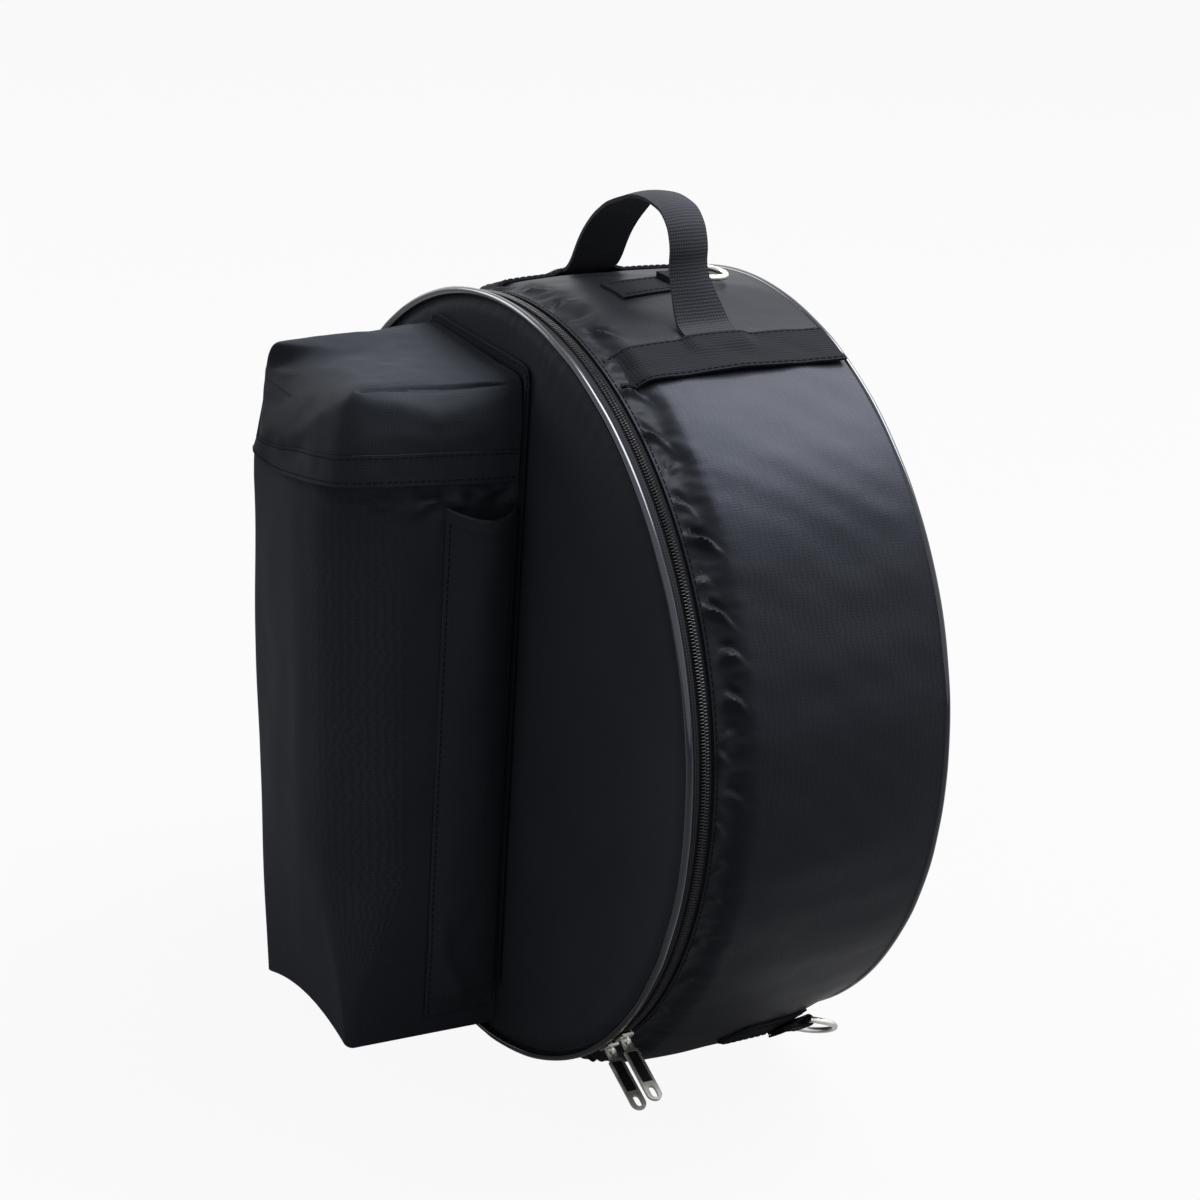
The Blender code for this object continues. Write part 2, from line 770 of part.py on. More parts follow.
def slider_outline(width):
    """The slider seen from outside: a wide shoulder and narrower ends."""
    half = slider_length / 2
    nose = slider_nose_width / 2
    wide = width / 2
    shoulder = half - slider_nose_length
    right = [(half, nose), (shoulder, wide), (-shoulder, wide), (-half, nose)]
    return right + [(x, -y) for x, y in reversed(right)]


def build_slider(suffix, angle, facing):
    """A slider that holds both coils, with its bail, hung on a pivot at the bag's middle."""
    travel = add_empty("slider_pivot_" + suffix, (0, -zip_forward, centre_height), bag)
    place = at_rim(angle, 0, -zip_forward) @ Matrix.Rotation(math.radians(90 - 90 * facing), 4, "Z")
    bm = bmesh.new()
    overlap = slider_plate / 4
    post_out = slider_length / 2 - slider_post_setback
    post_half = coil_gap / 2 - layer_gap
    pieces = []
    outline = slider_outline(slider_width)
    pieces.append((outline, slider_top, slider_top + slider_plate))
    pieces.append((outline, slider_bottom - slider_plate, slider_bottom))
    post = [
        (post_out, -post_half),
        (post_out, post_half),
        (post_out - slider_post_length, post_half),
        (post_out - slider_post_length, -post_half),
    ]
    pieces.append((post, slider_bottom - overlap, slider_top + overlap))
    flange_long = slider_length / 2 - slider_nose_length
    shell_side = facing * slider_width / 2
    flange_in = shell_side - facing * slider_flange
    flange = [
        (-flange_long, flange_in),
        (-flange_long, shell_side),
        (flange_long, shell_side),
        (flange_long, flange_in),
    ]
    pieces.append((flange, slider_top - slider_flange_reach, slider_top + overlap))
    names = []
    for index, (shape, low, high) in enumerate(pieces):
        verts = [bm.verts.new((x, y, low)) for x, y in shape]
        face = bm.faces.new(verts)
        grown = bmesh.ops.extrude_face_region(bm, geom=[face])
        lifted = [v for v in grown["geom"] if isinstance(v, bmesh.types.BMVert)]
        bmesh.ops.translate(bm, verts=lifted, vec=(0, 0, high - low))
        bmesh.ops.recalc_face_normals(bm, faces=bm.faces)
        mesh = bpy.data.meshes.new("slider_piece")
        bm.to_mesh(mesh)
        bm.clear()
        names.append(mesh)
    bm.free()
    slider = add_object("slider_" + suffix, names[0], nickel, travel, place)
    for index, mesh in enumerate(names[1:]):
        piece = bpy.data.objects.new(f"slider_{suffix}_piece_{index}", mesh)
        cutters.objects.link(piece)
        piece.matrix_world = place
        piece.hide_render = True
        piece.display_type = "WIRE"
        join = slider.modifiers.new("join", "BOOLEAN")
        join.operation = "UNION"
        join.solver = "EXACT"
        join.object = piece
    base = slider_top + slider_plate + layer_gap
    bow = arc_points((0, base + bail_rise - bail_half_length), bail_half_length, 0, 180, 8)
    points = [(bail_half_length, base)] + bow + [(-bail_half_length, base)]
    wire(
        "slider_bail_" + suffix,
        [(x, 0, z) for x, z in points],
        bail_wire_radius,
        False,
        nickel,
        travel,
        place,
    )
    return travel


def build_pull(suffix, angle, travel):
    """The pull: an eye round the bail, a black insert between two rails, and a slotted round end."""
    hinge = at_rim(angle, pull_axis, -zip_forward)
    pivot = add_empty("pull_pivot_" + suffix, hinge.translation, travel)
    # The pull's own X runs down its length, its Y across the zip.
    placing = Matrix.Translation(hinge.translation) @ Matrix.Rotation(math.radians(pull_rest_angle), 4, "Y")
    neck = pull_neck_width / 2
    half = pull_width / 2
    end_centre = pull_length - half
    right = [(-pull_bar, neck), (pull_neck_length, neck), (pull_neck_length + half - neck, half)]
    right += [(end_centre, half)]
    bow = arc_points((end_centre, 0), half, 90, -90, 8)[1:-1]
    outline = right + bow + [(x, -y) for x, y in reversed(right)]
    eye = rectangle(pull_bar, pull_bar + pull_eye_length, pull_eye_width / 2)
    window_half = half - pull_rail
    window = rectangle(pull_window_start, pull_window_start + pull_window_length, window_half)
    slot_end = pull_length - pull_end_margin - pull_slot_width / 2
    slot_start = slot_end - pull_slot_length + pull_slot_width
    slot = arc_points((slot_end, 0), pull_slot_width / 2, -90, 90, 4)
    slot += arc_points((slot_start, 0), pull_slot_width / 2, 90, 270, 4)
    flat_outline("pull_" + suffix, [outline, eye, window, slot], pull_thickness, nickel, pivot, placing)
    insert = rectangle(
        pull_window_start + layer_gap, pull_window_start + pull_window_length - layer_gap, window_half - layer_gap
    )
    flat_outline("pull_insert_" + suffix, [insert], insert_thickness, black_enamel, pivot, placing)


def rectangle(start, end, half):
    return [(start, -half), (end, -half), (end, half), (start, half)]


build_shell()
build_zip(bag, -1, "shell")
build_zip_stops()
build_lid()
build_zip(lid_hinge, 1, "lid")
build_pocket()
build_flap()
build_bands()
build_handle()
build_ring("top", 90.0, top_bar_y, top_bar_rise, top_ring_tilt)
build_ring("right", -lower_ring_angle, lower_bar_y, lower_bar_rise, lower_ring_tilt)
build_ring("left", 180.0 + lower_ring_angle, lower_bar_y, lower_bar_rise, lower_ring_tilt)
for slider_name, slider_angle, slider_facing in (
    ("upper", -upper_slider_angle, 1),
    ("lower", -lower_slider_angle, -1),
):
    pivot_empty = build_slider(slider_name, slider_angle, slider_facing)
    build_pull(slider_name, slider_angle, pivot_empty)
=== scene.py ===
# Snare drum bag: black coated Oxford cloth over foam, standing on its rim, photographed from the right front.
# The lid faces -Y, its zip's sliders are low on the right, and the tall pocket stands on the lid.
import bisect
import math

import bpy
from mathutils import Matrix, Vector, noise


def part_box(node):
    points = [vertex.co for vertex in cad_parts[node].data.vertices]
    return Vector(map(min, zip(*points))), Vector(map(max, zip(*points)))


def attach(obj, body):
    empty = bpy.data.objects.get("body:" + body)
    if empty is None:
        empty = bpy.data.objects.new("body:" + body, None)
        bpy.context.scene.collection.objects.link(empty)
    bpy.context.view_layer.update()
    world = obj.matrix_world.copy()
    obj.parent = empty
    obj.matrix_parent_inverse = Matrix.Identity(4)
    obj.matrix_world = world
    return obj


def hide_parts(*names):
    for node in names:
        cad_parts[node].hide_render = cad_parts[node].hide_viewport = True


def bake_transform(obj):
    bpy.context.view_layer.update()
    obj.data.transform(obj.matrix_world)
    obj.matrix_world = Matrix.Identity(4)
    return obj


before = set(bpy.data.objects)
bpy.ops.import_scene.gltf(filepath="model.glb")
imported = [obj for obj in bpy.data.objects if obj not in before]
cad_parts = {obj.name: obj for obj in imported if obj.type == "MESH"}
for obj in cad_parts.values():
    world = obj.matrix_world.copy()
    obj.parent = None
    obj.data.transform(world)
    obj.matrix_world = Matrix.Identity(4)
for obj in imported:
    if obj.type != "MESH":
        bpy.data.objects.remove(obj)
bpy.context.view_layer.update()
scene = bpy.context.scene

lidLow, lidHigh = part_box("lid_cloth")
pipingLow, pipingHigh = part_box("front_piping")
backLow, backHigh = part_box("rear_piping")
handleLow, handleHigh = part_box("handle")
hub = Vector((0, 0, (lidLow.z + lidHigh.z) / 2))  # middle of the lid, on the bag's turning axis
lidFace = lidLow.y
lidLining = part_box("lid_lining")[1].y
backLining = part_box("back_lining")[0].y
rimFront = (pipingLow.y + pipingHigh.y) / 2
rimBack = (backLow.y + backHigh.y) / 2
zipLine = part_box("zip_coil_lid")[1].y + 0.0005
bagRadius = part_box("gusset_cloth")[1].z - hub.z
pipingOuter = pipingHigh.z - hub.z
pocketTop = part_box("pocket_body")[1].z - hub.z
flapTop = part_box("pocket_flap")[1].z - hub.z
insidePocket = Vector((-0.024, -0.12, hub.z))
insideFlap = Vector((-0.024, -0.12, hub.z + 0.1))
floorRest = 0.0002


# Tools

def report(text):
    print("snare bag:", text)


def deselect():
    bpy.ops.object.select_all(action="DESELECT")


def activate(piece):
    deselect()
    piece.select_set(True)
    bpy.context.view_layer.objects.active = piece


def named(piece, name):
    piece.name = name
    piece.data.name = name
    return piece


def finish(piece, angle=40):
    activate(piece)
    bpy.ops.object.convert(target="MESH")
    bpy.ops.object.transform_apply()
    bpy.ops.object.shade_smooth_by_angle(angle=math.radians(angle))
    return piece


def applyAll(piece):
    activate(piece)
    for modifier in list(piece.modifiers):
        bpy.ops.object.modifier_apply(modifier=modifier.name)
    return piece


def dress(piece, material, body=None):
    piece.data.materials.clear()
    piece.data.materials.append(material)
    if body:
        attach(piece, body)
    return piece


# Finishes a sheet of cloth: its thickness, its material and body, and the solids that it stands for
def sew(piece, thickness, material, slot, body, *nodes, offset=-1, angle=40):
    wall = piece.modifiers.new("wall", "SOLIDIFY")
    wall.thickness = thickness
    wall.offset = offset
    dress(finish(applyAll(piece), angle), material, body)
    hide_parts(*nodes)


# A grid laid out by a function of its two directions, with its UV map in metres of cloth
def addSheet(name, columns, rows, cut, place, closed=False):
    deselect()
    bpy.ops.mesh.primitive_grid_add(x_subdivisions=columns, y_subdivisions=rows, size=1)
    piece = named(bpy.context.object, name)
    for vertex in piece.data.vertices:
        vertex.co = place(vertex.co.x + 0.5, vertex.co.y + 0.5)
    for loop in piece.data.uv_layers[0].data:
        loop.uv = (loop.uv.x * cut[0], loop.uv.y * cut[1])
    if closed:
        bpy.ops.object.mode_set(mode="EDIT")
        bpy.ops.mesh.select_all(action="SELECT")
        bpy.ops.mesh.remove_doubles(threshold=0.00001)
        bpy.ops.object.mode_set(mode="OBJECT")
    return piece


# Turns a sheet so that it faces away from a point inside
def facing(piece, inside):
    faces = piece.data.polygons
    if sum((face.center - inside).normalized().dot(face.normal) * face.area for face in faces) < 0:
        piece.data.flip_normals()
    return piece


def clamp(value):
    return min(1, max(0, value))


def smoothStep(low, high, value):
    share = clamp((value - low) / (high - low))
    return share * share * (3 - 2 * share)


def mix(a, b, share):
    return a + (b - a) * share


def bell(off, width):
    return math.exp(-((off / width) ** 2))


def hump(share):
    return math.sin(math.pi * clamp(share))


def ripple(place, size, seed=0):
    return noise.noise(Vector(place) / size + Vector((seed, seed * 1.7, -seed)))


# A point beside the rim: the angle is in degrees up from the bag's right side
def rimPoint(angle, radius, y):
    turn = math.radians(angle)
    return Vector((radius * math.cos(turn), y, hub.z + radius * math.sin(turn)))


# X along the rim, Y to the back, Z outwards
def rimFrame(angle, radius, y):
    turn = Matrix.Rotation(math.radians(90 - angle), 4, "Y")
    return Matrix.Translation((0, y, hub.z)) @ turn @ Matrix.Translation((0, 0, radius))


def onFloor(point):
    point.z = max(point.z, floorRest)
    return point


def linear(hexColour):
    parts = [int(hexColour[i:i + 2], 16) / 255 for i in (1, 3, 5)]
    return [p / 12.92 if p <= 0.04045 else ((p + 0.055) / 1.055) ** 2.4 for p in parts] + [1]


# Materials

# Sets a node's inputs, and links each one that is given a socket
def setInputs(node, inputs):
    for socket, value in inputs.items():
        if isinstance(value, bpy.types.NodeSocket):
            node.id_data.links.new(value, node.inputs[socket])
        else:
            node.inputs[socket].default_value = value
    return node


def addNode(material, kind, inputs=None, **settings):
    node = material.node_tree.nodes.new("ShaderNode" + kind)
    for name, value in settings.items():
        setattr(node, name, value)
    return setInputs(node, inputs or {})


def newMaterial(name):
    material = bpy.data.materials.new(name)
    material.use_nodes = True
    return material


def surface(material, inputs):
    setInputs(material.node_tree.nodes["Principled BSDF"], inputs)
    return material


# Ribs across and along, as a height from 0 to 1 on the piece's own UV map in metres, slightly uneven in spacing
def weaveHeight(material, spacing, shares=(0.5, 0.5), uneven=0.35):
    cloth = addNode(material, "TexCoord").outputs["UV"]
    stray = addNode(material, "TexNoise", {"Vector": cloth, "Scale": 0.3 / spacing, "Detail": 1.0})
    strayed = addNode(material, "VectorMath", {
        0: stray.outputs["Color"], 1: [spacing * uneven * 2] * 3, 2: cloth}, operation="MULTIPLY_ADD")
    apart = addNode(material, "SeparateXYZ", {"Vector": strayed.outputs[0]})
    height = 0.0
    for axis, share in zip("XY", shares):
        turns = addNode(material, "Math", {
            0: apart.outputs[axis], 1: 2 * math.pi / spacing}, operation="MULTIPLY")
        wave = addNode(material, "Math", {0: turns.outputs[0]}, operation="SINE")
        summed = addNode(material, "Math", {
            0: wave.outputs[0], 1: share, 2: height}, operation="MULTIPLY_ADD")
        height = summed.outputs[0]
    return addNode(material, "MapRange", {"Value": height, "From Min": -1.0}).outputs[0]


def blotches(material, scale, detail=3.0):
    place = addNode(material, "TexCoord").outputs["Object"]
    return addNode(material, "TexNoise", {"Vector": place, "Scale": scale, "Detail": detail}).outputs["Fac"]


# A colour between two tones, by a pattern's height
def twoTone(material, height, darkHex, lightHex, low=0.3, high=0.7):
    share = addNode(material, "MapRange", {"Value": height, "From Min": low, "From Max": high}).outputs[0]
    tones = {"Factor": share, "A": linear(darkHex), "B": linear(lightHex)}
    return addNode(material, "Mix", tones, data_type="RGBA").outputs["Result"]


# 600D polyester Oxford, woven and coated: a fine dotted weave with a low bluish sheen. Where it is pulled
# tight over the padding its coating is smoother and shines, and where it hangs loose it is duller. The loose
# copy is also painted lighter than the tight one: painted fill light for the faces that the lamps reach less.
# A coating has an IOR of about 1.5; the weave breaks its shine up, so it is set lower here.
# The threads are 0.5 mm apart, drawn at 1.4 mm so that they show at this distance.
oxford = {
    "thread": 0.0014,
    "tight": {"dark": "#191a1e", "light": "#25272b", "gap": "#18191d", "roughness": 0.41, "ior": 1.24},
    # the loose copy's lighter tones are painted fill light
    "slack": {"dark": "#292c32", "light": "#34373d", "gap": "#272a2f", "roughness": 0.5, "ior": 1.1},
    "tint": "#d2deff",
    "dullBefore": -0.045, "shinyFrom": -0.034,  # depths in the bag
}


def makeOxford(name, kind):
    tones = oxford[kind]
    material = newMaterial(name)
    weave = weaveHeight(material, oxford["thread"], uneven=0.9)
    tone = twoTone(material, blotches(material, 9.0), tones["dark"], tones["light"])
    dotted = addNode(material, "Mix", {
        "Factor": weave, "A": linear(tones["gap"]), "B": tone}, data_type="RGBA")
    creases = addNode(material, "Bump", {
        "Height": blotches(material, 60.0, 2.0), "Distance": 0.0006, "Strength": 0.5})
    threads = addNode(material, "Bump", {
        "Height": weave, "Distance": 0.00012, "Strength": 0.2, "Normal": creases.outputs[0]})
    shine = 0.5
    if kind == "tight":  # duller where it hangs loose, in front of the padding
        place = addNode(material, "TexCoord").outputs["Object"]
        depth = addNode(material, "SeparateXYZ", {"Vector": place}).outputs["Y"]
        shine = addNode(material, "MapRange", {
            "Value": depth, "From Min": oxford["dullBefore"], "From Max": oxford["shinyFrom"],
            "To Min": 0.2, "To Max": shine}).outputs[0]
    return surface(material, {
        "Base Color": dotted.outputs["Result"], "Roughness": tones["roughness"], "IOR": tones["ior"],
        "Normal": threads.outputs[0], "Specular IOR Level": shine, "Specular Tint": linear(oxford["tint"])})


# Polypropylene webbing: woven ribs along and across, almost no shine. The ribs are 1 mm apart, drawn at 1.7
webbing = {
    "rib": 0.0017, "roughness": 0.7, "ior": 1.15,
    # the band's tones are painted darker as painted shade where it faces the overhead lamp, and the handle's
    # are painted lighter as painted fill light on its sideways legs
    "band": ("#111214", "#232429"), "handle": ("#26272b", "#3c3e43"), "tape": ("#131416", "#2a2b2f"),
    "binding": ("#15161a", "#22242a"),
}


def makeWebbing(name, kind, rib, shares=(0.5, 0.5)):
    material = newMaterial(name)
    weave = weaveHeight(material, rib, shares, 0.2)
    ribs = addNode(material, "Bump", {"Height": weave, "Distance": 0.0002, "Strength": 0.7})
    return surface(material, {
        "Base Color": twoTone(material, weave, *webbing[kind], 0.1, 0.9), "Roughness": webbing["roughness"],
        "IOR": webbing["ior"], "Normal": ribs.outputs[0], "Specular Tint": linear(oxford["tint"]),
        "Sheen Weight": 0.03 if kind == "handle" else 0.0})


# Extruded vinyl piping: black, smooth and wet-looking, with slight waves along it
def makePiping():
    material = newMaterial("glossyVinylPiping")
    waves = addNode(material, "Bump", {
        "Height": blotches(material, 70.0, 1.0), "Distance": 0.0003, "Strength": 0.15})
    return surface(material, {
        "Base Color": linear("#0c0c0e"), "Roughness": 0.2, "IOR": 1.5, "Coat Weight": 0.7,
        "Coat Roughness": 0.08, "Normal": waves.outputs[0], "Specular Tint": linear(oxford["tint"])})


# Taffeta lining: thin smooth black nylon with a soft shine and fine waves
def makeLining():
    material = newMaterial("taffetaLining")
    tone = twoTone(material, blotches(material, 14.0), "#16171a", "#202226")
    waves = addNode(material, "Bump", {
        "Height": blotches(material, 45.0, 2.0), "Distance": 0.0008, "Strength": 0.5})
    weave = weaveHeight(material, 0.0012)
    threads = addNode(material, "Bump", {
        "Height": weave, "Distance": 0.0001, "Strength": 0.6, "Normal": waves.outputs[0]})
    return surface(material, {"Base Color": tone, "Roughness": 0.5, "IOR": 1.2, "Normal": threads.outputs[0]})


# Nickel-plated zinc and steel: bright, nearly mirror, with faint polishing marks
def makeNickel():
    material = newMaterial("nickelPlate")
    tone = twoTone(material, blotches(material, 300.0), "#d9d7d2", "#efede8")
    marks = addNode(material, "MapRange", {
        "Value": blotches(material, 900.0, 2.0), "To Min": 0.24, "To Max": 0.4})
    return surface(material, {"Base Color": tone, "Metallic": 1.0, "Roughness": marks.outputs[0]})


# Hook and loop tape: a mat of short nylon loops, fully dull
def makeLoopTape():
    material = newMaterial("nylonLoopTape")
    fuzz = blotches(material, 1500.0, 2.0)
    mat = addNode(material, "Bump", {"Height": fuzz, "Distance": 0.0006, "Strength": 1.0})
    tone = twoTone(material, fuzz, "#0f0f10", "#26262a")
    return surface(material, {"Base Color": tone, "Roughness": 0.9, "Normal": mat.outputs[0]})


# A plain finish whose tone drifts a little from place to place
def makePlain(name, scale, detail, tones, inputs):
    material = newMaterial(name)
    tone = twoTone(material, blotches(material, scale, detail), *tones)
    return surface(material, {"Base Color": tone, **inputs})


tightOxford = makeOxford("tightOxfordCloth", "tight")
# the loose copy, whose lighter tones are painted fill light for the lid, pocket and back faces
slackClothPaintedFill = makeOxford("slackOxfordClothPaintedFill", "slack")
# band, patch and tab webbing with tones darkened as painted shade; handle webbing with tones lightened as
# painted fill light
flatWebbingPaintedShade = makeWebbing("polypropyleneWebbingPaintedShade", "band", webbing["rib"], (0.7, 0.3))
handleWebbingPaintedFill = makeWebbing("softHandleWebbingPaintedFill", "handle", webbing["rib"], (0.35, 0.65))
zipTape = makeWebbing("wovenZipTape", "tape", 0.0015, (0.3, 0.7))
binding = makeWebbing("grosgrainBinding", "binding", 0.0016)
vinylPiping = makePiping()
taffeta = makeLining()
nickel = makeNickel()
loopTape = makeLoopTape()
# Moulded nylon of the zip's coil: dull black with a small highlight on each turn
coilNylon = makePlain("nylonZipCoil", 400.0, 1.0, ("#17171a", "#232327"), {"Roughness": 0.38, "IOR": 1.35})
# Baked enamel filling of the pulls: black and smooth
enamel = makePlain("blackEnamel", 500.0, 3.0, ("#0b0b0c", "#131314"), {"Roughness": 0.3})
# Bonded polyester sewing thread: black, twisted and dull
thread = makePlain("sewingThread", 900.0, 3.0, ("#0d0d0f", "#17171a"), {"Roughness": 0.8, "IOR": 1.15})


# Stitches: one short thread, repeated along a line of points
stitch = {"pitch": 0.0036, "length": 0.0024, "radius": 0.00028, "sides": 6, "above": 0.0001}


# A row or a column of a grid's points, a little above it
def sheetLine(piece, columns, row=None, column=None):
    piece.data.update()
    across = columns + 1
    points = list(piece.data.vertices)
    picked = points[row * across:(row + 1) * across] if column is None else points[column::across]
    return [vertex.co + vertex.normal * stitch["above"] for vertex in picked]


def addStitches(name, points, body):
    deselect()
    path = bpy.data.curves.new(name + "Path", "CURVE")
    path.dimensions = "3D"
    line = path.splines.new("POLY")
    line.points.add(len(points) - 1)
    for knot, point in zip(line.points, points):
        knot.co = (*point, 1)
    guide = bpy.data.objects.new(name + "Path", path)
    scene.collection.objects.link(guide)
    bpy.ops.mesh.primitive_cylinder_add(
        vertices=stitch["sides"], radius=stitch["radius"], depth=stitch["length"],
        location=(stitch["length"], 0, 0), rotation=(0, math.radians(90), 0),
    )
    run = named(bpy.context.object, name)
    bpy.ops.object.transform_apply()
    row = run.modifiers.new("row", "ARRAY")
    row.use_relative_offset = False
    row.use_constant_offset = True
    row.constant_offset_displace = (stitch["pitch"], 0, 0)
    row.count = int(sum((b - a).length for a, b in zip(points, points[1:])) / stitch["pitch"])
    run.modifiers.new("bend", "CURVE").object = guide
    applyAll(run)
    bpy.data.objects.remove(guide)
    dress(finish(run), thread, body)


# Camera and light

camera = {
    "azimuth": 60.231, "elevation": 15.423, "distance": 1.748874,  # turned from the front, and raised
    "across": -0.007234, "above": 0.028378,  # what the photograph's middle looks at, beside the lid's middle
    "lean": 6.5,  # the bag leans this far in the photograph, so the camera leans instead
    "lens": 102.68, "sensor": 36, "nearest": 0.05,
}


def addCamera():
    bpy.ops.object.camera_add()
    cam = bpy.context.object
    cam.name = "photoCamera"
    lean = Matrix.Rotation(math.radians(-camera["lean"]), 4, "Y")
    turn = Matrix.Rotation(math.radians(camera["azimuth"]), 4, "Z")
    tilt = Matrix.Rotation(math.radians(90 - camera["elevation"]), 4, "X")
    reach = Matrix.Translation((camera["across"], camera["above"], camera["distance"]))
    cam.matrix_world = Matrix.Translation(hub) @ lean @ turn @ tilt @ reach
    cam.data.lens = camera["lens"]
    cam.data.sensor_width = camera["sensor"]
    cam.data.clip_start = camera["nearest"]
    scene.camera = cam


lamps = {
    # name: where it stands from the bag's middle, its size in metres and its power in watts
    "overheadBox": ((0.06, 1.05, 1.91), 1.6, 100),
    "leftBox": ((-1.8, -0.95, 1.0), 1.0, 16),
}


def addLamps():
    for name, (place, size, power) in lamps.items():
        bpy.ops.object.light_add(type="AREA", location=hub + Vector(place))
        lamp = bpy.context.object
        lamp.name = name
        lamp.data.shape = "SQUARE"
        lamp.data.size = size
        lamp.data.energy = power
        lamp.rotation_euler = (-Vector(place)).to_track_quat("-Z", "Y").to_euler()


backdrop = {
    "seen": 1.1, "light": 0.39, "paper": "#8c8c8c", "paperSeen": 0.93, "paperInGloss": 0.05, "paperSize": 12,
}


# White where the camera, a reflection or glass sees it, and a dim grey to light the bag
def addWorld():
    world = bpy.data.worlds.new("studio")
    scene.world = world
    world.use_nodes = True
    world.node_tree.nodes.clear()
    rays = addNode(world, "LightPath").outputs
    seen = rays["Is Camera Ray"]
    for ray in ("Is Transmission Ray", "Is Glossy Ray"):
        seen = addNode(world, "Math", {0: seen, 1: rays[ray]}, operation="MAXIMUM").outputs[0]
    strength = addNode(world, "MapRange", {
        "Value": seen, "To Min": backdrop["light"], "To Max": backdrop["seen"]})
    white = addNode(world, "Background", {"Color": linear("#ffffff"), "Strength": strength.outputs[0]})
    addNode(world, "OutputWorld", {"Surface": white.outputs[0]})


# Seamless paper: dull, white to the camera, and darker where the bag's shadow falls
def addFloor():
    deselect()
    bpy.ops.mesh.primitive_plane_add(size=backdrop["paperSize"], location=(0, 0, -0.0001))
    floor = named(bpy.context.object, "paperFloor")
    material = newMaterial("seamlessPaper")
    surface(material, {"Base Color": linear(backdrop["paper"]), "Roughness": 0.95, "Specular IOR Level": 0.1})
    nodes = material.node_tree.nodes
    rays = addNode(material, "LightPath").outputs
    mirrored = addNode(material, "Math", {
        0: rays["Is Glossy Ray"], 1: rays["Is Transmission Ray"]}, operation="MAXIMUM")
    dimmed = addNode(material, "Math", {
        0: mirrored.outputs[0], 1: backdrop["paperInGloss"]}, operation="MULTIPLY")
    direct = addNode(material, "Math", {
        0: rays["Is Camera Ray"], 1: backdrop["paperSeen"]}, operation="MULTIPLY")
    share = addNode(material, "Math", {0: direct.outputs[0], 1: dimmed.outputs[0]}, operation="MAXIMUM")
    white = addNode(material, "Emission", {"Color": linear("#ffffff"), "Strength": 1.0})
    paper = addNode(material, "MixShader", {
        0: share.outputs[0], 1: nodes["Principled BSDF"].outputs[0], 2: white.outputs[0]})
    setInputs(nodes["Material Output"], {"Surface": paper.outputs[0]})
    floor.data.materials.append(material)
    finish(floor)


addCamera()
addLamps()
addWorld()
addFloor()
scene.view_settings.view_transform = "Standard"
report("camera, lamps and floor stand")


# Shell

shell = {
    "backEdge": 0.0706, "foamEdge": -0.037, "seam": -0.0583,  # along the bag's depth
    "backRadius": 0.1930, "crown": 0.0016, "shoulder": 0.1952, "zipRadius": 0.1925,
    "dip": 0.0014, "wave": 0.0009, "streak": 0.00024, "foamShare": 0.4, "cloth": 0.0008,
    "columns": 840, "rows": 46, "fallFrom": -0.35, "fallTo": 0.8, "hold": 0.0016,
}
# Puckers where the loose cloth gathers at the zip: angle, depth of the middle, length, height and lean
puckers = [
    (96.5, -0.047, 0.011, 0.0022, 0.5), (88.4, -0.0462, 0.010, 0.0022, -0.4),
    (76.9, -0.0462, 0.012, 0.0030, 0.4), (70.2, -0.0515, 0.008, 0.0016, -0.3),
    (63.6, -0.0524, 0.011, 0.0032, 0.3), (55.5, -0.054, 0.012, 0.0030, 0.6),
    (50.1, -0.0490, 0.010, 0.0014, -0.5), (44.4, -0.0525, 0.009, 0.0018, 0.5),
    (38.9, -0.0492, 0.014, 0.0042, 0.5), (33.1, -0.0530, 0.009, 0.0018, -0.2),
    (28.8, -0.0501, 0.013, 0.0038, 0.6), (22.8, -0.0465, 0.011, 0.0030, 0.2),
    (16.7, -0.0471, 0.010, 0.0026, 0.5), (11.8, -0.0510, 0.009, 0.0016, -0.4),
    (8.9, -0.0545, 0.009, 0.0020, 0.4), (3.1, -0.0490, 0.011, 0.0018, 0.3),
    (-1.1, -0.0563, 0.009, 0.0018, 0.4), (-7.5, -0.0515, 0.010, 0.0015, -0.4),
    (-13.0, -0.0500, 0.010, 0.0018, 0.5), (-21.0, -0.0530, 0.009, 0.0015, 0.3),
    (-29.5, -0.0500, 0.011, 0.0016, -0.4), (-38.0, -0.0520, 0.010, 0.0014, 0.4),
    (106.0, -0.0500, 0.011, 0.0024, 0.4), (117.5, -0.0480, 0.011, 0.0022, -0.3),
    (128.0, -0.0525, 0.009, 0.0024, 0.5), (139.0, -0.0495, 0.012, 0.0026, 0.4),
    (151.0, -0.0520, 0.010, 0.0020, -0.4), (-64.0, -0.0510, 0.010, 0.0014, 0.4),
    (-112.0, -0.0500, 0.011, 0.0018, -0.4), (-128.0, -0.0520, 0.010, 0.0022, 0.5),
    (-141.0, -0.0495, 0.011, 0.0020, 0.4), (-153.0, -0.0520, 0.010, 0.0020, -0.4),
]
# A pucker's shape: how many degrees and half-lengths it reaches, its curl, and how wide its ridge, dent and
# foot are
pucker = {
    "reach": 6.0, "end": 1.6, "fade": 1.4, "curl": 0.0022, "ridge": 0.0021,
    "dent": 0.0028, "dentAt": 0.0042, "dentShare": 0.65, "foot": 0.0105, "footShare": 0.3,
}
# The padding spreads beside the floor, and lies flatter under the far band: height, angle, width in degrees
sag = {"height": 0.0076, "angle": 62.0, "width": 15.0}
saddle = {"height": -0.0018, "angle": 113.0, "width": 11.0}
anchors = {  # where a ring's patch pulls the cloth: angle, depth, height
    "top": (90.0, 0.012, -0.0006), "right": (-54.0, 0.036, 0.0008), "left": (-126.0, 0.036, 0.0008),
}


def shellDepth(share):
    if share < shell["foamShare"]:
        return mix(shell["backEdge"], shell["foamEdge"], share / shell["foamShare"])
    return mix(shell["foamEdge"], shell["seam"], (share - shell["foamShare"]) / (1 - shell["foamShare"]))


